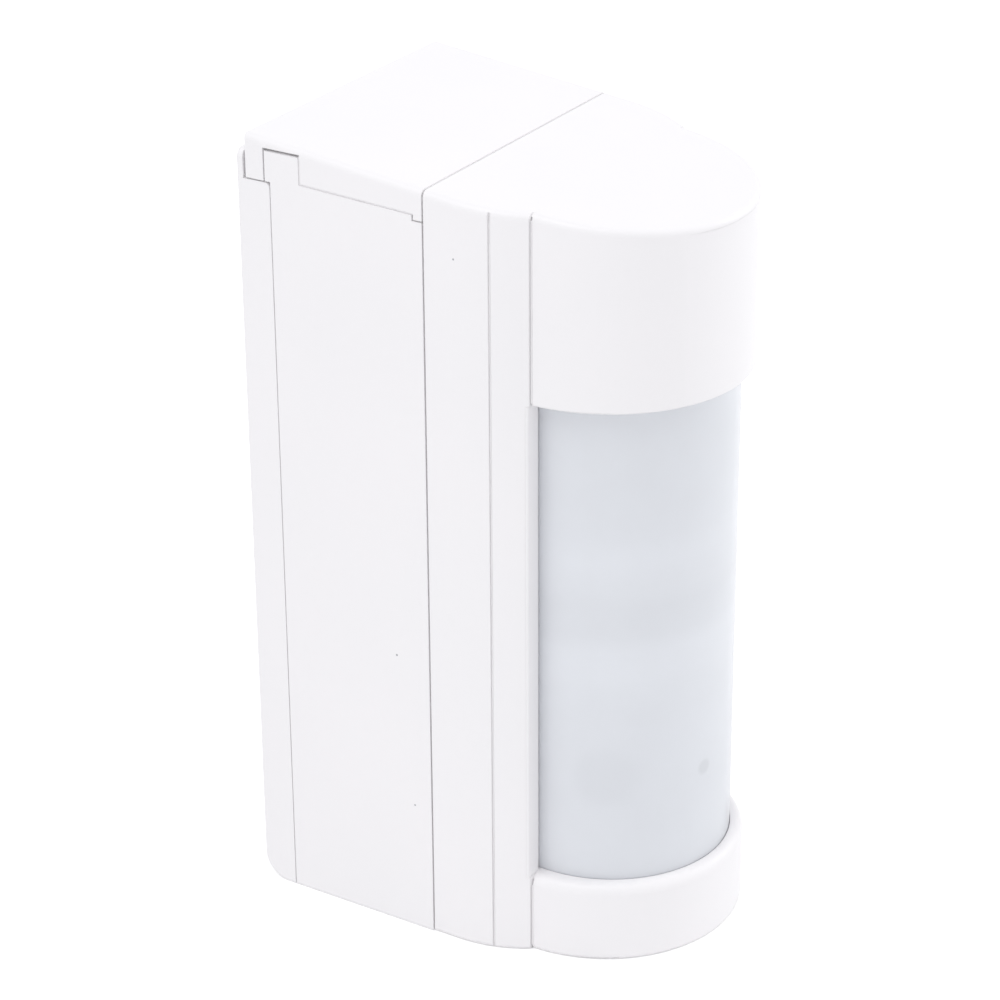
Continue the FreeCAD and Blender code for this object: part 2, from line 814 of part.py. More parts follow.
def back_box():
    outer = block(-half_width, half_width, seam_y, box_rear_y, 0, height)
    strips = block(box_side, half_width + past, strip_seam_y - shell_gap / 2, wall_y,
                   -past, strip_top_z + shell_gap)
    foot = block(-half_width, half_width, strip_seam_y - shell_gap / 2, wall_y,
                 -past, strip_wall + shell_gap)
    tongue = block(-tongue_half - shell_gap, tongue_half + shell_gap,
                   strip_seam_y - tongue_reach - shell_gap, wall_y, -past,
                   strip_wall + shell_gap)
    cheeks = side_profile(cheek_outline(shell_gap), rim_side, half_width + past)
    box = cut(outer, both_sides(strips) + [foot, tongue] + both_sides(cheeks))
    corner = edges_where(box, lambda e: on_level(e, strip_wall + shell_gap) and
                         all(abs(v.Y - box_rear_y) < 0.01 for v in e.Vertexes))
    box = box.makeFillet(foot_round - strip_wall, corner)
    too_high = block(-half_width, half_width, seam_y, wall_y, notch_top_z, height + past)
    over_roof = block(-rim_side, rim_side, seam_y - past, wall_y, 0, height).cut(
        under_roof(block(-half_width, half_width, seam_y - 2 * past, wall_y + past,
                         -past, height + past), box_top_drop))
    rear_top = block(-rim_side, rim_side, box_inner_y - shell_gap - skirt_step, wall_y,
                     strip_top_z, height)
    room = block(-half_width + box_wall, half_width - box_wall, seam_y + lip_wall,
                 strip_seam_y - box_wall, box_wall, tab_low_z - box_wall - room_drop)
    rear_room = block(-upper_side, upper_side, seam_y + lip_wall, box_inner_y,
                      box_floor_z, height)
    mouth = block(-half_width + box_wall + lip_width, half_width - box_wall - lip_width,
                  seam_y - past, seam_y + lip_wall + past, box_wall + lip_width,
                  base_high_z - lip_width)
    box = cut(box, [too_high, over_roof, rear_top, room, rear_room, mouth])
    lintel = block(-upper_side, upper_side, seam_y, seam_y + lip_wall,
                   base_high_z - lip_width, roof_z(seam_y) - box_top_drop)
    pieces = [box, lintel]
    for x, z in base_screw_places():
        pieces.append(level(x, z, seam_y + lip_wall / 2, seam_y + base_boss_length, boss_radius))
    pieces += both_sides(block(ledge_x - ledge_half, half_width - box_wall / 2,
                               ledge_y - ledge_half, ledge_y + ledge_half,
                               ledge_z, ledge_z + ledge_wall))
    pieces.append(block(-tongue_half - box_wall, tongue_half + box_wall,
                        strip_seam_y - tongue_reach - box_wall, strip_seam_y,
                        strip_wall + shell_gap, box_floor_z))
    pieces.append(upright(0, lock_screw_y, strip_wall + shell_gap, lock_boss_top,
                          lock_boss_radius))
    box = join(pieces)
    holes = [level(x, z, seam_y - past, seam_y + base_boss_length - blind_wall,
                   screw_radius + thread_clearance) for x, z in base_screw_places()]
    for x in (-ledge_x, ledge_x):
        holes.append(upright(x, ledge_y, ledge_z - past, ledge_z + ledge_wall + past,
                             screw_radius + hole_clearance))
    for x in (-hook_x, hook_x):
        holes.append(block(x - hook_width / 2 - fit_gap, x + hook_width / 2 + fit_gap,
                           box_inner_y - past, box_rear_y + past, hook_z - shell_gap,
                           hook_z + hook_height + past))
    holes.append(level(0, cable_z, box_inner_y - past, box_rear_y + past, grommet_neck))
    holes.append(level(wall_tamper_x, wall_tamper_z, box_inner_y - past, box_rear_y + past,
                       wall_plunger_radius + hole_clearance))
    holes.append(upright(0, lock_screw_y, 0, lock_boss_top + past,
                         screw_radius + thread_clearance))
    return cut(box, holes)


def roof_cap():
    outer = under_roof(block(-half_width, half_width, seam_y, box_rear_y,
                             tab_low_z - past, height + past))
    sides = edges_where(outer, lambda e: on_roof(e) and not along_x_only(e))
    outer = outer.makeFillet(edge_round, sides)
    rear = edges_where(outer, lambda e: abs(e.CenterOfMass.y - box_rear_y) < 0.01
                       and e.CenterOfMass.z > (strip_top_z + height) / 2)
    outer = outer.makeFillet(edge_round / 2, rear)
    plate = outer.cut(under_roof(block(-half_width, half_width, seam_y - past, wall_y,
                                       0, height + past), cap_wall))
    cheeks = [outer.common(side) for side in both_sides(
        side_profile(cheek_outline(0), half_width - cheek_wall, half_width))]
    skirt = outer.common(block(-half_width, half_width, box_rear_y - cheek_wall, box_rear_y,
                               strip_top_z + shell_gap, height))
    lip_back = box_inner_y - shell_gap
    lip = under_roof(block(-upper_side + shell_gap, upper_side - shell_gap, lip_back - rib_wall,
                           lip_back, strip_top_z - cap_lip_drop, height), cap_wall / 2)
    bridge = under_roof(block(-upper_side + shell_gap, upper_side - shell_gap,
                              lip_back - rib_wall, box_rear_y - cheek_wall / 2,
                              strip_top_z + shell_gap, strip_top_z + cap_bridge), 0)
    bosses = [under_roof(upright(x, ledge_y, ledge_z + ledge_wall, height, boss_radius),
                         cap_wall / 2) for x in (-ledge_x, ledge_x)]
    cap = join([plate] + cheeks + [skirt, lip, bridge] + bosses)
    notch = block(half_width - cheek_wall - shell_gap, half_width + past,
                  seam_y + cheek_length, seam_y + notch_end,
                  notch_top_z - notch_height, notch_top_z + shell_gap)
    holes = both_sides(notch)
    for x in (-hook_x, hook_x):
        holes.append(block(x - hook_width / 2 - fit_gap, x + hook_width / 2 + fit_gap,
                           0, box_inner_y - shell_gap, hook_z, hook_z + 2 * hook_height))
    for x in (-ledge_x, ledge_x):
        holes.append(upright(x, ledge_y, ledge_z, ledge_z + ledge_wall + cap_thread,
                             screw_radius + thread_clearance))
    return cut(cap, holes)


def cap_screws():
    screws = []
    for x in (-ledge_x, ledge_x):
        one = screw(0, 0, 0, ledge_wall + cap_thread - screw_spare, screw_radius,
                    screw_head_radius, screw_head)
        one.rotate(Vector(0, 0, 0), Vector(1, 0, 0), 90)
        one.translate(Vector(x, ledge_y, ledge_z))
        screws.append(one)
    return Part.makeCompound(screws)


def cable_grommet():
    inside = box_inner_y - grommet_inside
    outside = box_rear_y + grommet_outside
    profile = [(grommet_bore, inside), (grommet_flange, inside), (grommet_flange, box_inner_y),
               (grommet_neck, box_inner_y), (grommet_neck, box_rear_y),
               (grommet_flange, box_rear_y), (grommet_flange, outside), (grommet_bore, outside)]
    corners = [Vector(x, y, 0) for x, y in profile]
    face = Part.Face(Part.makePolygon(corners + [corners[0]]))
    ring = face.revolve(Vector(0, 0, 0), Vector(0, 1, 0), 360)
    ring.translate(Vector(0, 0, cable_z))
    return ring


# Gasket, base and what it carries

def box_gasket():
    return ring_xz(base_half - fit_gap, base_low_z + fit_gap, base_high_z - gasket_drop,
                   gasket_width, base_back_y, seam_y)


def bracket_screw_places():
    return [(x, z) for x in (-bracket_screw_x, bracket_screw_x)
            for z in (arm_low_z - bracket_reach, upper_arm_z + arm_wall + bracket_reach)]


def detector_base():
    plate = block(-base_half, base_half, base_front_y, base_back_y, base_low_z, base_high_z)
    upright_edges = edges_where(plate, lambda e: on_corner(e, base_half, base_low_z) or
                                on_corner(e, base_half, base_high_z))
    plate = plate.makeFillet(corner_round, upright_edges)
    rim = ring_xz(base_half, base_low_z, base_high_z - base_rim_wall, base_rim_wall,
                  base_front_y - base_rim, base_front_y)
    pieces = [plate, rim]
    pieces.append(block(-arm_half, arm_half, cover_screw_y - lug_reach, base_front_y,
                        lug_low_z, lug_high_z))
    pieces.append(block(-stop_half, stop_half, seam_y - stop_reach, base_front_y,
                        base_high_z - stop_drop, base_high_z - stop_drop + stop_wall))
    for x, z in board_screw_places() + bracket_screw_places():
        pieces.append(level(x, z, board_back_y, base_front_y, board_boss_radius))
    base = join(pieces)
    holes = [upright(0, cover_screw_y, lug_low_z - past, lug_high_z + past,
                     screw_radius + thread_clearance),
             block(-cable_window_half, cable_window_half, base_front_y - past,
                   base_back_y + past, base_high_z - cable_window_low,
                   base_high_z - cable_window_high)]
    for x, z in base_screw_places():
        holes.append(level(x, z, base_front_y - past, base_back_y + past,
                           screw_radius + hole_clearance))
    for x, z in board_screw_places() + bracket_screw_places():
        holes.append(level(x, z, board_back_y - past, base_back_y - blind_wall,
                           small_screw_radius + thread_clearance))
    return cut(base, holes)


def base_screws():
    return Part.makeCompound([
        screw(x, z, base_front_y, seam_y + base_boss_length - blind_wall - screw_spare
              - base_front_y, screw_radius, screw_head_radius, screw_head)
        for x, z in base_screw_places()])


def upper_bracket():
    """The upper arm, which holds the optical unit's top pivot."""
    low = upper_arm_z
    high = upper_arm_z + arm_wall
    arm = block(-arm_half, arm_half, pan_y, board_front_y, low, high)
    tip = upright(0, pan_y, low, high, arm_half)
    foot = block(-bracket_half, bracket_half, board_front_y - bracket_wall, board_front_y,
                 low, high + 2 * bracket_reach)
    ribs = both_sides(side_profile([(board_front_y, high), (board_front_y - gusset_length, high),
                                    (board_front_y, high + gusset_height)],
                                   arm_half - rib_wall, arm_half))
    holes = [upright(0, pan_y, low - past, high + past, pivot_radius + pivot_clearance)]
    return cut(join([arm, tip, foot] + ribs), holes + foot_holes())


def lower_bracket():
    """The lower arm, with the apron that carries the control board."""
    low = arm_low_z
    arm = block(-arm_half, arm_half, apron_y, board_front_y, low, arm_top_z)
    apron = block(-control_half + apron_inset, control_half - apron_inset, apron_y,
                  apron_y + jamb_wall, control_low_z + apron_rise, arm_top_z)
    feet = both_sides(block(link_half + link_gap, bracket_half, board_front_y - bracket_wall,
                            board_front_y, low - 2 * bracket_reach, arm_top_z))
    ribs = both_sides(side_profile([(board_front_y, low), (board_front_y, low - gusset_height),
                                    (board_front_y - gusset_length, low)],
                                   arm_half - rib_wall, arm_half))
    bosses = [level(x, z, apron_y - standoff, apron_y, control_boss_radius)
              for x, z in control_screw_places()]
    holes = [upright(0, pan_y, low - past, arm_top_z + past, pivot_radius + pivot_clearance),
             block(-link_half - link_gap, link_half + link_gap, apron_y - past,
                   apron_y + jamb_wall + past, link_z - link_gap,
                   link_z + board_wall + link_gap)]
    for x, z in control_screw_places():
        holes.append(level(x, z, apron_y - standoff - past, apron_y + jamb_wall + past,
                           small_screw_radius + thread_clearance))
    return cut(join([arm, apron] + feet + ribs + bosses), holes + foot_holes())


def foot_holes():
    return [level(x, z, board_front_y - bracket_wall - past, board_front_y + past,
                  small_screw_radius + hole_clearance) for x, z in bracket_screw_places()]


def bracket_screws():
    seat = board_front_y - bracket_wall
    return Part.makeCompound([
        screw(x, z, seat, base_back_y - blind_wall - screw_spare - seat, small_screw_radius,
              small_head_radius, small_head) for x, z in bracket_screw_places()])


# Optical unit

def lens_carrier():
    pieces = []
    for z0 in (carrier_low_z, carrier_high_z - carrier_wall):
        pieces.append(carrier_disc(z0, carrier_radius))
    pieces.append(carrier_disc(baffle_z, lens_radius - lens_wall - window_gap))
    pieces.append(block(-carrier_half, carrier_half, pan_y + carrier_back - carrier_wall,
                        pan_y + carrier_back, carrier_low_z, carrier_high_z))
    stile = block(lens_radius - lens_wall - stile_width, lens_radius - lens_wall - window_gap,
                  pan_y - stile_half, pan_y + stile_half, carrier_low_z, carrier_high_z)
    pieces += both_sides(stile)
    pieces.append(upright(0, pan_y, arm_low_z - pivot_end, carrier_low_z, pivot_radius))
    pieces.append(upright(0, pan_y, carrier_high_z, upper_arm_z + arm_wall + pivot_end,
                          pivot_radius))
    pieces.append(upright(0, pan_y, arm_top_z + pivot_clearance, carrier_low_z, collar_radius))
    return join(pieces).cut(baffle_opening())


def carrier_disc(z0, radius):
    front = plan([arc((radius, pan_y), (0, pan_y - radius), (-radius, pan_y)),
                  line((-radius, pan_y), (radius, pan_y))], z0, z0 + carrier_wall)
    side = block(-radius + carrier_step, radius - carrier_step, pan_y - stile_half,
                 pan_y + stile_half, z0, z0 + carrier_wall)
    back = block(-carrier_half, carrier_half, pan_y, pan_y + carrier_back, z0, z0 + carrier_wall)
    return join([front, side, back])


def fresnel_lens():
    """One curved sheet with sawtooth tiers inside, three above the baffle and three below."""
    low = carrier_low_z + carrier_wall
    high = carrier_high_z - carrier_wall
    inner = lens_radius - lens_wall
    tooth = lens_wall / 2
    points = [(lens_radius, low), (lens_radius, high)]
    for top, bottom in ((high, baffle_z + carrier_wall), (baffle_z, low)):
        step = (top - bottom) / lens_tiers
        for tier in range(lens_tiers):
            z = top - tier * step
            points.append((inner, z))
            points.append((inner + tooth, z - step))
    corners = [Vector(x, 0, z) for x, z in points]
    face = Part.Face(Part.makePolygon(corners + [corners[0]]))
    face.rotate(Vector(0, 0, 0), Vector(0, 0, 1), -90 - lens_angle)
    lens = face.revolve(Vector(0, 0, 0), Vector(0, 0, 1), 2 * lens_angle)
    lens.translate(Vector(0, pan_y, 0))
    return lens


def sensor_board():
    front = sensor_back_y - board_wall
    board = block(-sensor_half, sensor_half, front, sensor_back_y,
                  carrier_low_z + carrier_wall + sensor_gap,
                  carrier_high_z - carrier_wall - sensor_gap)
    slot = block(-sensor_half - past, sensor_half + past, front - past, sensor_back_y + past,
                 baffle_z - sensor_gap, baffle_z + carrier_wall + sensor_gap)
    neck = block(-neck_half, neck_half, front, sensor_back_y, baffle_z - neck_reach,
                 baffle_z + carrier_wall + neck_reach)
    return join([board.cut(slot), neck])


def baffle_opening():
    """Slot in the baffle that the sensor board's neck passes through."""
    return block(-neck_half - neck_gap, neck_half + neck_gap,
                 sensor_back_y - board_wall - neck_gap, sensor_back_y,
                 baffle_z - neck_reach, baffle_z + carrier_wall + neck_reach)


def pyro(z):
    """A sensor can with a sight window in its front."""
    front = sensor_face_y - pyro_height
    can = level(0, z, front, sensor_face_y, pyro_radius)
    rim = edges_where(can, lambda e: all(abs(v.Y - front) < 0.01 for v in e.Vertexes))
    can = can.makeFillet(pyro_round, rim)
    base = level(0, z, sensor_face_y - pyro_rim, sensor_face_y, pyro_radius + pyro_rim)
    sight = block(-sight_width / 2, sight_width / 2, front - past, front + sight_depth,
                  z - sight_height / 2, z + sight_height / 2)
    return can.fuse(base).cut(sight).removeSplitter()


# Boards

def board_screw_places():
    return [(x, z) for x in (-main_board_half + screw_edge, main_board_half - screw_edge)
            for z in (main_board_low_z + screw_end, main_board_top_z - screw_end)]


def control_screw_places():
    reach = control_half - control_screw_edge
    return [(x, control_high_z - control_screw_drop) for x in (-reach, reach)]


def main_board():
    board = block(-main_board_half, main_board_half, board_front_y, board_back_y,
                  main_board_low_z, main_board_top_z)
    holes = [level(x, z, board_front_y - past, board_back_y + past,
                   small_screw_radius + hole_clearance)
             for x, z in board_screw_places() + bracket_screw_places()]
    return cut(board, holes)


def board_screws():
    return Part.makeCompound([
        screw(x, z, board_front_y, base_back_y - blind_wall - screw_spare - board_front_y,
              small_screw_radius, small_head_radius, small_head)
        for x, z in board_screw_places()])


def board_parts():
    """Processor, crystal, relay and a capacitor, soldered on the main board."""
    face = board_front_y
    chip = block(-chip_size / 2, chip_size / 2, face - chip_height, face,
                 chip_z, chip_z + chip_size)
    crystal = block(crystal_x, crystal_x + crystal_width, face - crystal_height, face,
                    crystal_z, crystal_z + crystal_length)
    relay_z = terminal_z - relay_drop
    relay = block(relay_x, relay_x + relay_width, face - tall_part, face,
                  relay_z, relay_z + relay_length)
    capacitor = level(capacitor_x, capacitor_z, face - tall_part, face, boss_radius)
    return Part.makeCompound([chip, crystal, relay, capacitor])


def terminal_x(pole):
    return (pole - (terminal_poles - 1) / 2) * terminal_pitch


def terminal_block():
    half = terminal_poles * terminal_pitch / 2
    front = board_front_y - terminal_depth
    shoulder_y = board_front_y - terminal_depth * 0.6
    shoulder_z = terminal_z + terminal_height * 0.6
    profile = [(board_front_y, terminal_z), (board_front_y, terminal_z + terminal_height),
               (shoulder_y, terminal_z + terminal_height), (front, shoulder_z),
               (front, terminal_z)]
    body = side_profile(profile, -half, half)
    return cut(body, [level(terminal_x(pole), terminal_screw_z(), front - past,
                            board_front_y - terminal_seat, terminal_hole)
                      for pole in range(terminal_poles)])


def terminal_screw_z():
    return terminal_z + terminal_height * 0.4


def terminal_screws():
    seat = board_front_y - terminal_depth + terminal_seat
    return Part.makeCompound([
        screw(terminal_x(pole), terminal_screw_z(), seat, board_front_y - terminal_seat - seat,
              clamp_radius, screw_radius, clamp_head) for pole in range(terminal_poles)])


def control_board():
    back = apron_y - standoff
    board = block(-control_half, control_half, back - board_wall, back,
                  control_low_z, control_high_z)
    holes = [level(x, z, back - board_wall - past, back + past,
                   small_screw_radius + hole_clearance) for x, z in control_screw_places()]
    return cut(board, holes)


def control_screws():
    face = apron_y - standoff - board_wall
    return Part.makeCompound([
        screw(x, z, face, board_wall + standoff + jamb_wall, small_screw_radius,
              small_head_radius, small_head) for x, z in control_screw_places()])


def link_board():
    return block(-link_half, link_half, apron_y - standoff, board_front_y,
                 link_z, link_z + board_wall)


def dip_x(number):
    return dip_x_centre + (number - (dip_count - 1) / 2) * dip_pitch


def dip_housing():
    half = dip_count * dip_pitch / 2
    body = block(dip_x_centre - half, dip_x_centre + half, dip_face_y, dip_face_y + dip_depth,
                 dip_z_centre - dip_height / 2, dip_z_centre + dip_height / 2)
    slots = []
    for number in range(dip_count):
        x = dip_x(number)
        half_slot = lever_width / 2 + lever_clearance
        slots.append(block(x - half_slot, x + half_slot, dip_face_y - past,
                           dip_face_y + dip_slot, lever_low_z - lever_clearance,
                           lever_low_z + lever_height + dip_travel + lever_clearance))
    return cut(body, slots)


def dip_lever(number):
    x = dip_x(number)
    return block(x - lever_width / 2, x + lever_width / 2, dip_face_y - lever_out,
                 dip_face_y + dip_slot - lever_clearance, lever_low_z,
                 lever_low_z + lever_height)


def alarm_led():
    face = apron_y - standoff - board_wall
    body = level(led_x, led_z, face - led_length, face, led_radius)
    dome = Part.makeSphere(led_radius, Vector(led_x, face - led_length, led_z))
    rim = level(led_x, led_z, face - led_rim_front, face - led_rim_back, led_radius + led_rim)
    return body.fuse(dome).fuse(rim).removeSplitter()


# Tamper switches

def tamper_switch():
    body = block(tamper_x - switch_half, tamper_x + switch_half, board_front_y - switch_depth,
                 board_front_y, tamper_z - switch_half, tamper_z + switch_half)
    return body.cut(level(tamper_x, tamper_z, board_front_y - switch_depth - past,
                          board_front_y - switch_back, plunger_radius + plunger_clearance))


def tamper_plunger():
    back = board_front_y - switch_back - plunger_travel - plunger_spare
    tip = level(tamper_x, tamper_z, tamper_tip_y, back, plunger_radius)
    rim = edges_where(tip, lambda e: all(abs(v.Y - tamper_tip_y) < 0.01 for v in e.Vertexes))
    return tip.makeFillet(plunger_round, rim)


def wall_tamper_switch():
    body = block(wall_tamper_x - wall_switch_half, wall_tamper_x + wall_switch_half,
                 box_inner_y - wall_switch_depth, box_inner_y,
                 wall_tamper_z - wall_switch_half, wall_tamper_z + wall_switch_half)
    return body.cut(level(wall_tamper_x, wall_tamper_z, box_inner_y - wall_bore,
                          box_inner_y + past, wall_plunger_radius + plunger_clearance))


def wall_tamper_plunger():
    back = box_inner_y - wall_bore + wall_plunger_travel + plunger_spare
    tip = level(wall_tamper_x, wall_tamper_z, back, wall_y, wall_plunger_radius)
    rim = edges_where(tip, lambda e: all(abs(v.Y - wall_y) < 0.01 for v in e.Vertexes))
    return tip.makeFillet(plunger_round, rim)


# Batteries

def cell_x(number):
    return (number - (cell_count - 1) / 2) * cell_pitch


def battery_holder():
    pieces = [block(-holder_half, holder_half, box_inner_y - holder_wall, box_inner_y,
                    holder_low_z, holder_high_z)]
    for z0 in (holder_low_z, holder_high_z - holder_wall):
        pieces.append(block(-holder_half, holder_half, cell_y - cell_radius / 2, box_inner_y,
                            z0, z0 + holder_wall))
    for x in (-holder_half, holder_half - holder_wall):
        pieces.append(block(x, x + holder_wall, cell_y, box_inner_y, holder_low_z, holder_high_z))
    for number in range(cell_count - 1):
        x = (cell_x(number) + cell_x(number + 1)) / 2
        pieces.append(block(x - divider_wall / 2, x + divider_wall / 2, cell_y + divider_back,
                            box_inner_y, holder_low_z, holder_high_z))
    cells = [upright(cell_x(number), cell_y, cell_low_z - cell_play,
                     cell_low_z + cell_length + cell_play, cell_radius + shell_gap)
             for number in range(cell_count)]
    return cut(join(pieces), cells)


def battery(number):
    top_z = cell_low_z + cell_length
    cell = upright(cell_x(number), cell_y, cell_low_z, top_z, cell_radius)
    ends = edges_where(cell, lambda e: isinstance(e.Curve, Part.Circle))
    knob = upright(cell_x(number), cell_y, top_z, top_z + knob_height, knob_radius)
    return cell.makeFillet(cell_round, ends).fuse(knob)


def battery_contacts():
    contacts = []
    for number in range(cell_count):
        x = cell_x(number)
        contacts.append(block(x - contact_half, x + contact_half, cell_y - contact_depth / 2,
                              cell_y + contact_depth / 2,
                              cell_low_z + cell_length + knob_height,
                              holder_high_z - holder_wall))
        contacts.append(leaf_spring(x, holder_low_z + holder_wall))
    return Part.makeCompound(contacts)


def leaf_spring(x, low):
    """A bowed strip that presses on the flat end of a cell."""
    y = cell_y - contact_depth / 2
    foot = low + contact_wall
    left = x - spring_half
    right = x + spring_half
    outer = Part.Arc(Vector(left, y, foot), Vector(x, y, cell_low_z), Vector(right, y, foot))
    inner = Part.Arc(Vector(right, y, low), Vector(x, y, cell_low_z - contact_wall),
                     Vector(left, y, low))
    ends = [Part.LineSegment(Vector(right, y, foot), Vector(right, y, low)),
            Part.LineSegment(Vector(left, y, low), Vector(left, y, foot))]
    outline = [outer.toShape(), ends[0].toShape(), inner.toShape(), ends[1].toShape()]
    return Part.Face(Part.Wire(outline)).extrude(Vector(0, contact_depth, 0))


nodes = {
    "wall_plate": wall_plate(),
    "back_box": back_box(),
    "roof_cap": roof_cap(),
    "front_cover": front_cover(),
    "window": window(),
    "window_seal": window_seal(),
    "window_frame": window_frame(),
    "frame_screws": frame_screws(),
    "cover_screw": cover_screw(),
    "screw_washer": screw_washer(),
    "box_lock_screw": box_lock_screw(),
    "cap_screws": cap_screws(),
    "cable_grommet": cable_grommet(),
    "box_gasket": box_gasket(),
    "detector_base": detector_base(),
    "base_screws": base_screws(),
    "upper_bracket": upper_bracket(),
    "lower_bracket": lower_bracket(),
    "bracket_screws": bracket_screws(),
    "lens_carrier": lens_carrier(),
    "fresnel_lens": fresnel_lens(),
    "sensor_board": sensor_board(),
    "upper_pyro": pyro(upper_pyro_z),
    "lower_pyro": pyro(lower_pyro_z),
    "main_board": main_board(),
    "board_screws": board_screws(),
    "board_parts": board_parts(),
    "terminal_block": terminal_block(),
    "terminal_screws": terminal_screws(),
    "control_board": control_board(),
    "control_screws": control_screws(),
    "link_board": link_board(),
    "dip_housing": dip_housing(),
    "alarm_led": alarm_led(),
    "tamper_switch": tamper_switch(),
    "tamper_plunger": tamper_plunger(),
    "wall_tamper_switch": wall_tamper_switch(),
    "wall_tamper_plunger": wall_tamper_plunger(),
    "battery_holder": battery_holder(),
    "battery_contacts": battery_contacts(),
}
for number in range(dip_count):
    nodes["dip_lever_%d" % (number + 1)] = dip_lever(number)
for number in range(cell_count):
    nodes["battery_%d" % (number + 1)] = battery(number)

for name, shape in nodes.items():
    shape.exportStep("parts/%s.step" % name)
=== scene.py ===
import math

import bmesh
import bpy
from mathutils import Matrix, Vector


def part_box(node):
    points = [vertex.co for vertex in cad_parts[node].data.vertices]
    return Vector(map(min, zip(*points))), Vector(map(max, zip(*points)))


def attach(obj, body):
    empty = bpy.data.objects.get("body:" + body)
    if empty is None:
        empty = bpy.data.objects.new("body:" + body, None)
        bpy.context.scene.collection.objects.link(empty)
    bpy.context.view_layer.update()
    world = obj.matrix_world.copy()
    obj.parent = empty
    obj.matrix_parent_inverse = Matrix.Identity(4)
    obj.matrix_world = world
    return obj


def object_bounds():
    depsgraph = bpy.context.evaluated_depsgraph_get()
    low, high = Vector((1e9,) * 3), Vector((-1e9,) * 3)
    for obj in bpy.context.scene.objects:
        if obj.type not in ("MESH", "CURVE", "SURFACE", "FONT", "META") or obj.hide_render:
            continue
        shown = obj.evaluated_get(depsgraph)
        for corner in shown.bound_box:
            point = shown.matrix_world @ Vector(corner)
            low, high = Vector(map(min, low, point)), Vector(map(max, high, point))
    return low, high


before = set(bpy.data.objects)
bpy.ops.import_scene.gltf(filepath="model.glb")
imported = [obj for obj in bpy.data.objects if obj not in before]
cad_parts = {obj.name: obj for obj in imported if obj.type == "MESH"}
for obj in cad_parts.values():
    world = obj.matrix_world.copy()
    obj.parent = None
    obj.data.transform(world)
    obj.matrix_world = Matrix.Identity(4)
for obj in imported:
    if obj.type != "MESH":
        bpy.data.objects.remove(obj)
CAD_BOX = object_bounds()

bl_info = {
    "name": "Outdoor motion detector",
    "version": (1, 0, 0),
    "blender": (4, 5, 0),
    "location": "3D View > Sidebar > Detector",
    "description": "Finishes of a wall-mounted outdoor motion detector, its lens and its studio",
    "category": "Object",
}

MM = 0.001
HOUSING = "housing"
OPTICS = "optics"
PAN_Y = -0.02115            # the optical unit's pan axis
BAFFLE_Z = 0.0865
LENS_ANGLE = 80.0           # half the angle that the lens sheet spans

# Height in the lens sheet, from 0 at its lower edge to 1 at its upper edge, and lightness there;
# the darker tiers are painted shade
LENS_TIER_SHADE = ((0.0, 0.62), (0.12, 0.66), (0.15, 1.0), (0.27, 1.0), (0.3, 0.25), (0.46, 0.2),
              (0.52, 0.95), (0.6, 1.0), (0.64, 0.5), (1.0, 0.4))

# Facets across each tier of the lens sheet, from the top down
LENS_FACETS = (9, 8, 6, 7, 6, 5)

# Painted light and shade of the parts behind the window, as lighter and darker bands: height in
# metres, and lightness there
WINDOW_SHADE_BANDS = ((0.017, 0.97), (0.035, 0.965), (0.054, 0.97), (0.066, 0.985), (0.071, 1.0),
                (0.077, 1.0), (0.081, 0.965), (0.088, 0.96), (0.092, 0.985), (0.099, 0.995),
                (0.105, 0.97), (0.115, 0.965), (0.138, 0.98))

# Soft spots low in the window: place and radius in millimetres, and lightness.
# The first is a painted shadow of the panel behind it and the second the alarm indicator.
WINDOW_SPOTS = (((-24.6, -33.4, 45.5), 9.5, 0.93), ((-5.2, -48.0, 43.3), 2.4, 0.86))
WINDOW_CENTRE = Vector((0.0, -0.0206, 0.0))

# Left half of the outlines, in millimetres, of three strips that follow the front cover:
# the rounded lip on each jamb, the cove in the step to the nose, and the bed of the first groove
JAMB_LIP = ((-33.3, -18.2), (-33.36, -18.4), (-33.3, -18.6), (-33.12, -18.77), (-32.85, -18.86),
            (-32.4, -18.9), (-29.3, -18.9), (-29.05, -18.84), (-28.92, -18.68), (-28.9, -18.2))
JAMB_HEIGHTS = (19.2, 135.75)
STEP_COVE = ((-31.55, -19.29), (-32.17, -19.29), (-32.24, -19.2), (-32.38, -19.08),
             (-32.6, -19.01), (-31.55, -19.01))
GROOVE_BED = ((-35.8, -11.66), (-36.26, -11.66), (-36.24, -11.45), (-36.3, -11.25),
              (-35.8, -11.25))

COVER_TOP = 177.4           # upper end of the strips that follow the cover

# Outlines in millimetres, y and z, of the bed under the seam of the cap's cheeks, and x and z
# of the bed under the seam across the roof
CHEEK_BED = ((6.4, 175.41), (35.39, 176.51), (35.39, 182.95), (35.11, 182.95), (35.11, 176.79),
             (6.4, 175.69))
ROOF_BED = ((-36.3, 179.5), (-37.1, 180.56), (-36.7, 180.85), (-36.25, 181.04), (-35.8, 181.1),
            (35.8, 181.1), (36.25, 181.04), (36.7, 180.85), (37.1, 180.56), (36.3, 179.5))

# The screen behind the window's foot and flanks: radii in metres, then degrees, then heights.
# The middle of its top row stays open for the lens, and one cell for the indicator.
SCREEN_RADII = (0.0259, 0.0263)
SCREEN_ANGLES = (-100, -92, -83, -74, -60, -45, -30, -18, -6, 2, 16, 30, 45, 60, 74, 83, 92, 100)
SCREEN_LEVELS = (0.01725, 0.026, 0.0381, 0.0417, 0.048, 0.0582, 0.1377)
SCREEN_OPEN = {(column, 5) for column in range(3, 14)} | {(8, 2)}
# A grey-blue sheet that stands in for shade low in the window: its angles in degrees and heights
# in metres
PANEL_ANGLES = (-78.0, -40.0)
PANEL_LEVELS = (0.038, 0.048)

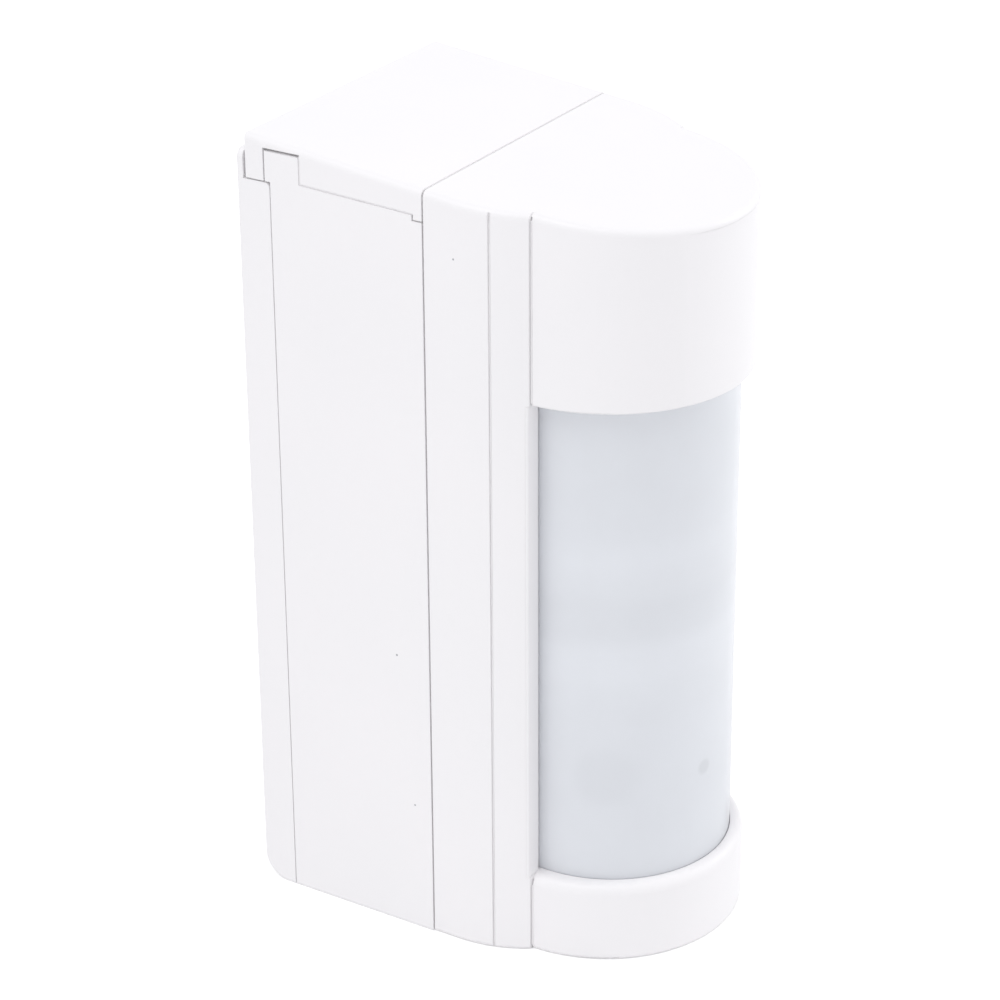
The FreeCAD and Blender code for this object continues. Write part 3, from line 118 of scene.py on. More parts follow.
# Small parts on the front of each board, in millimetres: x, z, width, height and thickness
SMALL_PARTS = {
    "sensor_board": ((0.0, 97.5, 5.0, 6.2, 1.2), (-6.5, 99.5, 1.2, 2.0, 0.6),
                     (-6.5, 96.0, 1.2, 2.0, 0.6), (6.5, 99.5, 1.2, 2.0, 0.6),
                     (6.5, 96.0, 1.2, 2.0, 0.6), (-4.5, 121.0, 1.2, 2.0, 0.6),
                     (-1.5, 121.0, 1.2, 2.0, 0.6), (1.5, 121.0, 1.2, 2.0, 0.6),
                     (4.5, 121.0, 1.2, 2.0, 0.6), (0.0, 126.0, 3.0, 1.6, 1.0),
                     (-4.5, 80.5, 1.2, 2.0, 0.6), (-1.5, 80.5, 1.2, 2.0, 0.6),
                     (1.5, 80.5, 1.2, 2.0, 0.6), (4.5, 80.5, 1.2, 2.0, 0.6)),
    "control_board": ((9.5, 40.0, 5.0, 4.0, 1.2), (14.6, 41.2, 1.2, 2.0, 0.6),
                      (14.6, 38.2, 1.2, 2.0, 0.6), (8.0, 34.0, 1.2, 2.0, 0.6),
                      (10.5, 34.0, 1.2, 2.0, 0.6), (13.0, 34.0, 1.2, 2.0, 0.6),
                      (-12.0, 30.6, 2.0, 1.2, 0.6), (-8.5, 30.6, 2.0, 1.2, 0.6),
                      (-5.0, 30.6, 2.0, 1.2, 0.6), (2.0, 30.6, 2.0, 1.2, 0.6)),
    "main_board": ((16.0, 100.0, 5.2, 6.2, 1.2), (16.0, 112.0, 5.2, 5.0, 1.2),
                   (22.5, 101.5, 1.2, 2.0, 0.6), (22.5, 98.0, 1.2, 2.0, 0.6),
                   (10.0, 101.5, 1.2, 2.0, 0.6), (10.0, 98.0, 1.2, 2.0, 0.6),
                   (11.0, 118.5, 2.0, 1.2, 0.6), (14.5, 118.5, 2.0, 1.2, 0.6),
                   (18.0, 118.5, 2.0, 1.2, 0.6), (21.5, 118.5, 2.0, 1.2, 0.6),
                   (12.0, 88.0, 1.2, 2.0, 0.6), (14.5, 88.0, 1.2, 2.0, 0.6),
                   (17.0, 88.0, 1.2, 2.0, 0.6), (19.5, 88.0, 1.2, 2.0, 0.6),
                   (22.0, 88.0, 1.2, 2.0, 0.6), (16.0, 76.0, 4.0, 4.0, 1.0)),
}

CHIP_END = 0.24             # half the length of a chip's bright end, in millimetres
CHIP_LIP = 0.04             # how far the bright end stands proud of the chip
SMALLEST_PACKAGE = 2.5      # below this length a part is a chip, above it a package with pins
PIN_PITCH = 1.2
PIN_FOOT = 0.35             # half the length of a pin's foot
PIN_LEG = 0.09              # half the thickness of a pin's leg
PIN_SHEET = 0.18            # thickness of a pin's foot
PIN_WIDTH = 0.2             # half the width of a pin

# The camera that matches the photograph: its place in metres and two of its axes
CAMERA_PLACE = (-0.56861, -0.34938, 0.41604)
CAMERA_RIGHT = (0.53106, -0.84731, -0.00571)
CAMERA_FORWARD = (0.76263, 0.48090, -0.43259)

# Small dark marks on the housing as the photograph shows them: place and radius
MARKS = (((-37.8, -3.5, 167.6), 0.3), ((-37.8, 12.8, 69.7), 0.35), ((-37.8, 8.7, 32.1), 0.3))


# Sizes and colours that a user may change

class HousingFinish(bpy.types.PropertyGroup):
    colour: bpy.props.FloatVectorProperty(
        name="Housing colour", description="White of the moulded shells", subtype="COLOR",
        size=3, min=0.0, max=1.0, default=(0.926, 0.907, 0.915))
    shade: bpy.props.FloatVectorProperty(
        name="Cloudy colour", description="Slightly greyer white that drifts through the shells",
        subtype="COLOR", size=3, min=0.0, max=1.0, default=(0.911, 0.897, 0.905))
    roughness: bpy.props.FloatProperty(
        name="Roughness", description="Roughness of the fine moulded texture",
        min=0.0, max=1.0, default=0.42)
    grain: bpy.props.FloatProperty(
        name="Grain size", description="Spacing of the fine moulded texture",
        subtype="DISTANCE", unit="LENGTH", min=0.0001, max=0.01, default=0.00045)
    edge: bpy.props.FloatProperty(
        name="Edge radius", description="Soft edge along the seams and grooves",
        subtype="DISTANCE", unit="LENGTH", min=0.0, max=0.002, default=0.00028)
    dust: bpy.props.FloatVectorProperty(
        name="Speck colour", description="Colour of the few dark specks", subtype="COLOR",
        size=3, min=0.0, max=1.0, default=(0.42, 0.42, 0.44))


class WindowFinish(bpy.types.PropertyGroup):
    colour: bpy.props.FloatVectorProperty(
        name="Window colour", description="Milky blue-grey of the window", subtype="COLOR",
        size=3, min=0.0, max=1.0, default=(0.94, 0.96, 1.0))
    clearness: bpy.props.FloatProperty(
        name="Clearness", description="Share of the light that passes each face of the window",
        subtype="FACTOR", min=0.0, max=1.0, default=0.26)
    roughness: bpy.props.FloatProperty(
        name="Roughness", description="Roughness of the window's satin face",
        min=0.0, max=1.0, default=0.5)


class LensFinish(bpy.types.PropertyGroup):
    colour: bpy.props.FloatVectorProperty(
        name="Lens colour", description="Milky white of the lens sheet", subtype="COLOR",
        size=3, min=0.0, max=1.0, default=(0.95, 0.965, 1.0))
    relief: bpy.props.FloatProperty(
        name="Relief", description="Depth of the rings on the lens sheet",
        subtype="DISTANCE", unit="LENGTH", min=0.0, max=0.0005, default=0.00012)


class StudioSettings(bpy.types.PropertyGroup):
    floor_colour: bpy.props.FloatVectorProperty(
        name="Floor colour", description="Pale colour of the floor", subtype="COLOR",
        size=3, min=0.0, max=1.0, default=(0.93, 0.93, 0.93))
    sky: bpy.props.FloatVectorProperty(
        name="Sky colour", description="Slightly cool white of the even light", subtype="COLOR",
        size=3, min=0.0, max=2.0, default=(1.0, 1.008, 1.035))
    world: bpy.props.FloatProperty(
        name="Sky strength", description="Strength of the even light from all round",
        min=0.0, max=3.0, default=0.77)
    key: bpy.props.FloatProperty(
        name="Key light", description="Power of the large lamp above the left shoulder",
        subtype="POWER", min=0.0, max=200.0, default=8.6)
    fill: bpy.props.FloatProperty(
        name="Fill light", description="Power of the lamp at the right of the window",
        subtype="POWER", min=0.0, max=200.0, default=7.0)
    lens: bpy.props.FloatProperty(
        name="Focal length", description="Focal length of the camera, in millimetres",
        min=20.0, max=300.0, default=117.55)


def settings():
    return bpy.context.scene


# Material helpers

def new_material(name, colour, roughness, metallic=0.0):
    """A plain starting material; returns it with its node tree and shader."""
    material = bpy.data.materials.new(name)
    material.use_nodes = True
    tree = material.node_tree
    shader = tree.nodes["Principled BSDF"]
    shader.inputs["Base Color"].default_value = (*colour, 1.0)
    shader.inputs["Roughness"].default_value = roughness
    shader.inputs["Metallic"].default_value = metallic
    return material, tree, shader


def add_node(tree, kind, **values):
    node = tree.nodes.new(kind)
    for name, value in values.items():
        if name in node.inputs:
            node.inputs[name].default_value = value
        else:
            setattr(node, name, value)
    return node


def object_space(tree):
    return add_node(tree, "ShaderNodeTexCoord").outputs["Object"]


def noise(tree, scale, detail=2.0, rough=0.5):
    """Noise whose pattern repeats about every 1/scale metres."""
    node = add_node(tree, "ShaderNodeTexNoise", Scale=scale, Detail=detail, Roughness=rough)
    tree.links.new(object_space(tree), node.inputs["Vector"])
    return node.outputs["Fac"]


def ramp(tree, factor, low, high, first, second):
    """Blends two colours where the factor runs from low to high."""
    node = add_node(tree, "ShaderNodeValToRGB")
    node.color_ramp.elements[0].position = low
    node.color_ramp.elements[0].color = (*first, 1.0)
    node.color_ramp.elements[1].position = high
    node.color_ramp.elements[1].color = (*second, 1.0)
    tree.links.new(factor, node.inputs["Fac"])
    return node.outputs["Color"]


def spread(tree, factor, low, high):
    """Turns a factor into a number between low and high."""
    node = add_node(tree, "ShaderNodeMapRange")
    node.inputs["To Min"].default_value = low
    node.inputs["To Max"].default_value = high
    tree.links.new(factor, node.inputs["Value"])
    return node.outputs["Result"]


def blend_to(tree, factor, base, colour):
    """Turns a linked colour into a plain one where the factor is 1."""
    node = add_node(tree, "ShaderNodeMix", data_type="RGBA")
    tree.links.new(factor, node.inputs[0])
    tree.links.new(base, node.inputs[6])
    node.inputs[7].default_value = (*colour, 1.0)
    return node.outputs[2]


def multiply(tree, first, second):
    """Multiplies two linked colours."""
    node = add_node(tree, "ShaderNodeMix", data_type="RGBA", blend_type="MULTIPLY")
    node.inputs[0].default_value = 1.0
    tree.links.new(first, node.inputs[6])
    tree.links.new(second, node.inputs[7])
    return node.outputs[2]


def bump(tree, shader, height, distance, strength=1.0, base=None):
    node = add_node(tree, "ShaderNodeBump", Strength=strength, Distance=distance)
    tree.links.new(height, node.inputs["Height"])
    if base is not None:
        tree.links.new(base, node.inputs["Normal"])
    tree.links.new(node.outputs["Normal"], shader.inputs["Normal"])


def dress(node_name, material):
    """Gives a carried-over node its material."""
    if node_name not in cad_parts:
        raise RuntimeError("the frame has no node " + node_name)
    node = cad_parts[node_name]
    node.data.materials.clear()
    node.data.materials.append(material)


def specks(tree, scale, size):
    """A factor of 1 on rare small dots and 0 elsewhere."""
    cells = add_node(tree, "ShaderNodeTexVoronoi", Scale=scale)
    tree.links.new(object_space(tree), cells.inputs["Vector"])
    near = add_node(tree, "ShaderNodeMath", operation="LESS_THAN")
    near.inputs[1].default_value = size
    tree.links.new(cells.outputs["Distance"], near.inputs[0])
    split = add_node(tree, "ShaderNodeSeparateColor")
    tree.links.new(cells.outputs["Color"], split.inputs["Color"])
    rare = add_node(tree, "ShaderNodeMath", operation="GREATER_THAN")
    rare.inputs[1].default_value = 0.9
    tree.links.new(split.outputs["Red"], rare.inputs[0])
    both = add_node(tree, "ShaderNodeMath", operation="MULTIPLY")
    tree.links.new(near.outputs[0], both.inputs[0])
    tree.links.new(rare.outputs[0], both.inputs[1])
    return both.outputs[0]


def spot(tree, place, radius):
    """A factor of 1 close to one place, in millimetres, that fades at the radius."""
    reach = add_node(tree, "ShaderNodeVectorMath", operation="DISTANCE")
    tree.links.new(object_space(tree), reach.inputs[0])
    reach.inputs[1].default_value = [c * MM for c in place]
    fade = add_node(tree, "ShaderNodeMapRange", interpolation_type="SMOOTHSTEP")
    fade.inputs["From Min"].default_value = radius * MM
    fade.inputs["From Max"].default_value = radius * MM * 0.5
    tree.links.new(reach.outputs["Value"], fade.inputs["Value"])
    return fade.outputs["Result"]


def height_bands(tree, stops):
    """Colours that change with the height above the floor, given in metres."""
    low, high = stops[0][0], stops[-1][0]
    axes = add_node(tree, "ShaderNodeSeparateXYZ")
    tree.links.new(object_space(tree), axes.inputs[0])
    rise = add_node(tree, "ShaderNodeMapRange")
    rise.inputs["From Min"].default_value = low
    rise.inputs["From Max"].default_value = high
    tree.links.new(axes.outputs["Z"], rise.inputs["Value"])
    node = add_node(tree, "ShaderNodeValToRGB")
    elements = node.color_ramp.elements
    while len(elements) < len(stops):
        elements.new(0.5)
    for element, (height, colour) in zip(elements, stops):
        element.position = (height - low) / (high - low)
        element.color = (*colour, 1.0)
    tree.links.new(rise.outputs["Result"], node.inputs["Fac"])
    return node.outputs["Color"]


# Materials

def housing_plastic():
    """Satin white plastic with a fine moulded grain, faint clouds and a few specks."""
    finish = settings().detector_housing
    material, tree, shader = new_material("satin_white_plastic", finish.colour, finish.roughness)
    clouds = ramp(tree, noise(tree, 22.0, 3.0), 0.35, 0.7, finish.colour, finish.shade)
    colour = blend_to(tree, specks(tree, 90.0, 0.02), clouds, finish.dust)
    for place, radius in MARKS:
        colour = blend_to(tree, spot(tree, place, radius), colour, finish.dust)
    tree.links.new(colour, shader.inputs["Base Color"])
    tree.links.new(spread(tree, noise(tree, 60.0), finish.roughness - 0.05,
                          finish.roughness + 0.07), shader.inputs["Roughness"])
    edge = add_node(tree, "ShaderNodeBevel", Radius=finish.edge)
    edge.samples = 4
    bump(tree, shader, noise(tree, 1.0 / finish.grain, 2.0, 0.6), 0.00003, 0.35,
         edge.outputs["Normal"])
    return material


def window_plastic():
    """Milky plastic that lets soft shadows through, with painted light and shade in bands and
    painted spots.
    """
    finish = settings().detector_window
    material, tree, shader = new_material("milky_window_plastic", finish.colour, finish.roughness)
    shader.inputs["Alpha"].default_value = 1.0 - finish.clearness
    shader.inputs["Coat Weight"].default_value = 1.0
    shader.inputs["Coat Roughness"].default_value = 0.35
    clouds = ramp(tree, noise(tree, 45.0, 4.0, 0.6), 0.3, 0.75, (1.0, 1.0, 1.0),
                  (0.97, 0.97, 0.97))
    # Painted light and shade: lighter and darker bands with the height
    bands = height_bands(tree, [(height, [c * level for c in finish.colour])
                                for height, level in WINDOW_SHADE_BANDS])
    shade = multiply(tree, clouds, bands)
    # Painted spots: a shadow of the panel behind, and the alarm indicator's dot
    for place, radius, level in WINDOW_SPOTS:
        shade = blend_to(tree, spot(tree, place, radius), shade,
                         [c * level for c in finish.colour])
    tree.links.new(shade, shader.inputs["Base Color"])
    bump(tree, shader, noise(tree, 900.0, 1.0), 0.00002, 0.2)
    return material


def plain_plastic(name, colour, roughness, grain=1500.0):
    """Matt moulded plastic for the inner pieces."""
    material, tree, shader = new_material(name, colour, roughness)
    tree.links.new(ramp(tree, noise(tree, 80.0), 0.3, 0.75, colour,
                        [c * 0.9 for c in colour]), shader.inputs["Base Color"])
    bump(tree, shader, noise(tree, grain), 0.00003, 0.3)
    return material


def soft_rubber(name, colour):
    material, tree, shader = new_material(name, colour, 0.75)
    tree.links.new(ramp(tree, noise(tree, 150.0), 0.3, 0.8, colour,
                        [min(1.0, c * 1.35 + 0.01) for c in colour]),
                   shader.inputs["Base Color"])
    bump(tree, shader, noise(tree, 1200.0), 0.00004, 0.5)
    return material


def plated_metal(name, colour, roughness):
    """Plated steel or brass with fine drawn marks."""
    material, tree, shader = new_material(name, colour, roughness, 1.0)
    marks = noise(tree, 700.0, 3.0, 0.7)
    tree.links.new(ramp(tree, marks, 0.3, 0.75, colour, [c * 0.82 for c in colour]),
                   shader.inputs["Base Color"])
    tree.links.new(spread(tree, marks, roughness - 0.08, roughness + 0.12),
                   shader.inputs["Roughness"])
    bump(tree, shader, marks, 0.00002, 0.25)
    return material


def circuit_board(name, mask, track):
    """Solder mask with the copper tracks showing faintly through it."""
    material, tree, shader = new_material(name, mask, 0.35)
    tracks = add_node(tree, "ShaderNodeTexBrick", Scale=230.0)
    tracks.inputs["Color1"].default_value = (*mask, 1.0)
    tracks.inputs["Color2"].default_value = (*[c * 0.94 for c in mask], 1.0)
    tracks.inputs["Mortar"].default_value = (*track, 1.0)
    tracks.inputs["Mortar Size"].default_value = 0.05
    turn = add_node(tree, "ShaderNodeMapping")
    turn.inputs["Rotation"].default_value = (math.pi / 2, 0.0, 0.0)
    tree.links.new(object_space(tree), turn.inputs["Vector"])
    tree.links.new(turn.outputs["Vector"], tracks.inputs["Vector"])
    tree.links.new(tracks.outputs["Color"], shader.inputs["Base Color"])
    bump(tree, shader, tracks.outputs["Fac"], 0.00003, 0.4)
    return material


def green_board():
    return circuit_board("green_solder_mask", (0.03, 0.18, 0.09), (0.07, 0.27, 0.13))


def lens_sheet_plastic(low, high):
    """Milky sheet whose darker tiers are painted shade, with the fine rings of each facet."""
    finish = settings().detector_lens
    material, tree, shader = new_material("milky_lens_sheet", finish.colour, 0.45)
    # Painted shade: the darker tiers of the lens sheet
    tiers = height_bands(tree, [(low + (high - low) * share, [c * light for c in finish.colour])
                                for share, light in LENS_TIER_SHADE])
    rings = add_node(tree, "ShaderNodeTexWave", wave_type="BANDS", bands_direction="Z",
                     Scale=260.0)
    tree.links.new(object_space(tree), rings.inputs["Vector"])
    lines = ramp(tree, rings.outputs["Fac"], 0.1, 0.9, (1.0, 1.0, 1.0), (0.94, 0.94, 0.95))
    tree.links.new(multiply(tree, tiers, lines), shader.inputs["Base Color"])
    bump(tree, shader, rings.outputs["Fac"], finish.relief, 0.6)
    return material


def cell_jacket():
    """Plain jacket with bare metal showing at the upper end."""
    blue, metal = (0.12, 0.22, 0.34), (0.7, 0.7, 0.71)
    material, tree, shader = new_material("cell_jacket", blue, 0.35)
    place = add_node(tree, "ShaderNodeSeparateXYZ")
    tree.links.new(object_space(tree), place.inputs["Vector"])
    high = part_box("battery_1")[1]
    ends = add_node(tree, "ShaderNodeMapRange")
    ends.inputs["From Min"].default_value = high.z - 2.2 * MM
    ends.inputs["From Max"].default_value = high.z - 2.0 * MM
    tree.links.new(place.outputs["Z"], ends.inputs["Value"])
    tree.links.new(ends.outputs["Result"], shader.inputs["Metallic"])
    tree.links.new(ramp(tree, ends.outputs["Result"], 0.4, 0.6, blue, metal),
                   shader.inputs["Base Color"])
    return material


# Mesh helpers

def piece(name, mesh, material, body):
    """Links a finished mesh as a piece that rides on a body."""
    thing = bpy.data.objects.new(name, mesh)
    bpy.context.scene.collection.objects.link(thing)
    mesh.materials.append(material)
    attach(thing, body)


def mesh_from(name, work, angle=35.0):
    """Turns a bmesh into a mesh that shades smoothly up to the given angle."""
    bmesh.ops.recalc_face_normals(work, faces=work.faces[:])
    for face in work.faces:
        face.smooth = True
    for edge in work.edges:
        if len(edge.link_faces) == 2 and edge.calc_face_angle(0.0) > math.radians(angle):
            edge.smooth = False
    mesh = bpy.data.meshes.new(name)
    work.to_mesh(mesh)
    work.free()
    return mesh


def add_block(work, x0, x1, y0, y1, z0, z1):
    """Adds a box given by its limits in millimetres."""
    middle = Vector((x0 + x1, y0 + y1, z0 + z1)) * MM / 2
    size = Vector((x1 - x0, y1 - y0, z1 - z0)) * MM
    bmesh.ops.create_cube(work, size=1.0, matrix=Matrix.LocRotScale(middle, None, size))


def add_band(work, centre, radii, angles, heights, steps):
    """Adds a curved band about an upright axis; sizes in metres, angles in degrees from -Y."""
    rings = []
    for step in range(steps + 1):
        angle = math.radians(angles[0] + (angles[1] - angles[0]) * step / steps)
        across = Vector((math.sin(angle), -math.cos(angle), 0.0))
        rings.append([work.verts.new(centre + across * radius + Vector((0.0, 0.0, height)))
                      for radius, height in ((radii[0], heights[0]), (radii[1], heights[0]),
                                             (radii[1], heights[1]), (radii[0], heights[1]))])
    for first, second in zip(rings, rings[1:]):
        for side in range(4):
            after = (side + 1) % 4
            work.faces.new((first[side], first[after], second[after], second[side]))
    work.faces.new(rings[0][::-1])
    work.faces.new(rings[-1])


def add_strip(work, outline, low, high):
    """Adds an upright strip from its outline in millimetres, on the left and mirrored."""
    for side in (1, -1):
        feet = [work.verts.new((x * side * MM, y * MM, low * MM)) for x, y in outline]
        tops = [work.verts.new((x * side * MM, y * MM, high * MM)) for x, y in outline]
        for first in range(len(outline)):
            after = (first + 1) % len(outline)
            work.faces.new((feet[first], feet[after], tops[after], tops[first]))
        work.faces.new(feet[::-1])
        work.faces.new(tops)


def add_plate(work, outline, low, high, place):
    """Adds a flat plate from its outline; place turns an outline point and a depth into 3-D."""
    first = [work.verts.new(Vector(place(a, b, low)) * MM) for a, b in outline]
    second = [work.verts.new(Vector(place(a, b, high)) * MM) for a, b in outline]
    for here in range(len(outline)):
        after = (here + 1) % len(outline)
        work.faces.new((first[here], first[after], second[after], second[here]))
    work.faces.new(first[::-1])
    work.faces.new(second)


def add_screen(work, centre, radii, angles, levels, left_open):
    """Adds a thin curved wall made of cells, some of which stay open."""
    def corner(radius, column, row):
        angle = math.radians(angles[column])
        return work.verts.new(centre + Vector((math.sin(angle) * radius,
                                               -math.cos(angle) * radius, levels[row])))
    rows = range(len(levels))
    skins = [[[corner(radius, column, row) for row in rows] for column in range(len(angles))]
             for radius in radii]
    cells = {(column, row) for column in range(len(angles) - 1) for row in rows[:-1]} - left_open
    for column, row in cells:
        ends = ((column, row), (column + 1, row), (column + 1, row + 1), (column, row + 1))
        for skin in skins:
            work.faces.new([skin[c][r] for c, r in ends])
        beside = ((column, row - 1), (column + 1, row), (column, row + 1), (column - 1, row))
        for side, neighbour in enumerate(beside):
            if neighbour not in cells:
                (c0, r0), (c1, r1) = ends[side], ends[(side + 1) % 4]
                work.faces.new((skins[0][c0][r0], skins[0][c1][r1],
                                skins[1][c1][r1], skins[1][c0][r0]))


def small_parts(board, parts, body, dark, metal):
    """Packages with bright ends or rows of pins on the front of a board."""
    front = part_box(board)[0].y / MM
    bodies = bmesh.new()
    ends = bmesh.new()
    for x, z, width, height, thick in parts:
        add_block(bodies, x - width / 2, x + width / 2, front - thick, front, z - height / 2,
                  z + height / 2)
        if max(width, height) < SMALLEST_PACKAGE:
            long_x = width > height
            for side in (-1, 1):
                cx = x + side * (width / 2 - 0.2 if long_x else 0.0)
                cz = z + side * (0.0 if long_x else height / 2 - 0.2)
                half_x = CHIP_END if long_x else width / 2 + CHIP_LIP
                half_z = height / 2 + CHIP_LIP if long_x else CHIP_END
                add_block(ends, cx - half_x, cx + half_x, front - thick - CHIP_LIP, front,
                          cz - half_z, cz + half_z)
            continue
        pins = max(2, int(height / PIN_PITCH))
        for pin in range(pins):
            pin_z = z + (pin - (pins - 1) / 2) * PIN_PITCH
            for side in (-1, 1):
                foot = x + side * (width / 2 + PIN_FOOT)
                add_block(ends, foot - PIN_FOOT, foot + PIN_FOOT, front - PIN_SHEET, front,
                          pin_z - PIN_WIDTH, pin_z + PIN_WIDTH)
                leg = x + side * (width / 2 + PIN_LEG)
                add_block(ends, leg - PIN_LEG, leg + PIN_LEG, front - thick * 0.6,
                          front - PIN_SHEET, pin_z - PIN_WIDTH, pin_z + PIN_WIDTH)
    piece(board + "_packages", mesh_from(board + "_packages", bodies), dark, body)
    piece(board + "_leads", mesh_from(board + "_leads", ends), metal, body)


# Operators

class DETECTOR_OT_housing(bpy.types.Operator):
    """Give the moulded shells their satin white plastic"""
    bl_idname = "detector.housing"
    bl_label = "Housing finish"

    def execute(self, context):
        white = housing_plastic()
        for name in ("wall_plate", "back_box", "roof_cap", "front_cover"):
            dress(name, white)
        lips = bmesh.new()
        add_strip(lips, JAMB_LIP, *JAMB_HEIGHTS)
        piece("jamb_lips", mesh_from("jamb_lips", lips, 50.0), white, HOUSING)
        coves = bmesh.new()
        add_strip(coves, STEP_COVE, 0.9, 16.9)
        add_strip(coves, STEP_COVE, 136.2, COVER_TOP)
        add_strip(coves, GROOVE_BED, 1.2, COVER_TOP)
        piece("groove_beds", mesh_from("groove_beds", coves, 50.0), white, HOUSING)
        seams = bmesh.new()
        for side in (-1, 1):
            add_plate(seams, CHEEK_BED, 37.0 * side, 37.66 * side, lambda y, z, x: (x, y, z))
        add_plate(seams, ROOF_BED, 3.86, 4.19, lambda x, z, y: (x, y, z))
        piece("seam_beds", mesh_from("seam_beds", seams), white, HOUSING)
        return {"FINISHED"}


class DETECTOR_OT_window(bpy.types.Operator):
    """Give the window its milky plastic, and finish its seal and clamping frame"""
    bl_idname = "detector.window"
    bl_label = "Window finish"

    def execute(self, context):
        dress("window", window_plastic())
        dress("window_seal", soft_rubber("grey_seal_rubber", (0.2, 0.2, 0.21)))
        inner = plain_plastic("inner_white_plastic", (0.9, 0.93, 0.97), 0.5)
        dress("window_frame", inner)
        wall = bmesh.new()
        add_screen(wall, WINDOW_CENTRE, SCREEN_RADII, SCREEN_ANGLES, SCREEN_LEVELS, SCREEN_OPEN)
        piece("foot_screen", mesh_from("foot_screen", wall), inner, HOUSING)
        # A grey-blue sheet on the screen, put in as the shade of a patch low in the window
        panel = bmesh.new()
        add_band(panel, WINDOW_CENTRE, (SCREEN_RADII[1] - 0.0001, SCREEN_RADII[1] + 0.0003),
                 PANEL_ANGLES, PANEL_LEVELS, 12)
        grey = plain_plastic("shade_panel_grey", (0.22, 0.26, 0.4), 0.5)
        piece("shade_panel", mesh_from("shade_panel", panel), grey, HOUSING)
        return {"FINISHED"}


class DETECTOR_OT_optics(bpy.types.Operator):
    """Finish the lens sheet, add its fine ribs and finish the optical unit"""
    bl_idname = "detector.optics"
    bl_label = "Optical unit"

    def execute(self, context):
        dress("lens_carrier", plain_plastic("carrier_white_plastic", (0.92, 0.93, 0.94), 0.5))
        low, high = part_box("fresnel_lens")
        dress("fresnel_lens", lens_sheet_plastic(low.z, high.z))
        self.lens_ribs(low, high)
        dress("sensor_board", green_board())
        can = plated_metal("sensor_can_metal", (0.72, 0.72, 0.73), 0.28)
        dress("upper_pyro", can)
        dress("lower_pyro", can)
        return {"FINISHED"}

    def lens_ribs(self, low, high):
        """Fine raised borders between the facets and the tiers of the lens sheet."""
        centre = Vector((0.0, PAN_Y, 0.0))
        radius = PAN_Y - low.y
        radii = (radius - 0.00002, radius + 0.00012)
        levels = [high.z + (BAFFLE_Z - high.z) * step / 3 for step in range(4)]
        levels += [BAFFLE_Z + (low.z - BAFFLE_Z) * step / 3 for step in range(1, 4)]
        half_angle, half_height = 0.3, 0.00015
        work = bmesh.new()
        for top, bottom, facets in zip(levels, levels[1:], LENS_FACETS):
            for facet in range(1, facets):
                angle = LENS_ANGLE * (2 * facet / facets - 1)
                add_band(work, centre, radii, (angle - half_angle, angle + half_angle),
                         (bottom + 0.0004, top - 0.0004), 1)
            if bottom > low.z + 0.001:
                add_band(work, centre, radii, (-LENS_ANGLE + 1, LENS_ANGLE - 1),
                         (bottom - half_height, bottom + half_height), 64)
        rib = plain_plastic("lens_rib_plastic", (0.9, 0.91, 0.92), 0.4)
        piece("lens_ribs", mesh_from("lens_ribs", work), rib, OPTICS)


class DETECTOR_OT_electronics(bpy.types.Operator):
    """Finish the boards, the switches and the indicator"""
    bl_idname = "detector.electronics"
    bl_label = "Boards and switches"

    def execute(self, context):
        green = green_board()
        dark = plain_plastic("package_black", (0.025, 0.025, 0.027), 0.35)
        tinned = plated_metal("tinned_leads", (0.75, 0.75, 0.74), 0.3)
        for board, parts in SMALL_PARTS.items():
            small_parts(board, parts, OPTICS if board == "sensor_board" else HOUSING, dark, tinned)
        for name in ("main_board", "link_board"):
            dress(name, green)
        dress("control_board", circuit_board("white_solder_mask", (0.82, 0.83, 0.82),
                                             (0.72, 0.74, 0.72)))
        black = plain_plastic("component_black", (0.02, 0.02, 0.021), 0.4)
        for name in ("board_parts", "tamper_switch", "wall_tamper_switch"):
            dress(name, black)
        dress("terminal_block", plain_plastic("terminal_green", (0.06, 0.3, 0.14), 0.35))
        dress("dip_housing", plain_plastic("switch_blue", (0.04, 0.12, 0.42), 0.35))
        lever = plain_plastic("lever_white", (0.85, 0.85, 0.85), 0.35)
        for name in ("dip_lever_1", "dip_lever_2", "dip_lever_3", "dip_lever_4",
                     "tamper_plunger", "wall_tamper_plunger"):
            dress(name, lever)
        red = plain_plastic("indicator_red", (0.6, 0.05, 0.04), 0.2)
        red.node_tree.nodes["Principled BSDF"].inputs["Transmission Weight"].default_value = 0.5
        dress("alarm_led", red)
        return {"FINISHED"}


class DETECTOR_OT_fittings(bpy.types.Operator):
    """Finish the base, brackets, seals and screws"""
    bl_idname = "detector.fittings"
    bl_label = "Base and fasteners"

    def execute(self, context):
        inner = plain_plastic("base_white_plastic", (0.82, 0.82, 0.82), 0.5)
        for name in ("detector_base", "upper_bracket", "lower_bracket"):
            dress(name, inner)
        steel = plated_metal("zinc_plated_steel", (0.55, 0.55, 0.56), 0.35)
        for name in ("frame_screws", "cover_screw", "box_lock_screw", "cap_screws",
                     "base_screws", "bracket_screws", "board_screws", "terminal_screws",
                     "control_screws"):
            dress(name, steel)
        grey = soft_rubber("grey_gasket_rubber", (0.2, 0.2, 0.21))
        dress("screw_washer", grey)
        dress("box_gasket", grey)
        dress("cable_grommet", soft_rubber("black_grommet_rubber", (0.03, 0.03, 0.03)))
        return {"FINISHED"}


class DETECTOR_OT_batteries(bpy.types.Operator):
    """Finish the battery holder, its contacts and the cells"""
    bl_idname = "detector.batteries"
    bl_label = "Batteries"

    def execute(self, context):
        dress("battery_holder", plain_plastic("holder_black_plastic", (0.03, 0.03, 0.03), 0.55))
        dress("battery_contacts", plated_metal("contact_brass", (0.72, 0.56, 0.26), 0.3))
        jacket = cell_jacket()
        for name in ("battery_1", "battery_2", "battery_3"):
            dress(name, jacket)
        return {"FINISHED"}


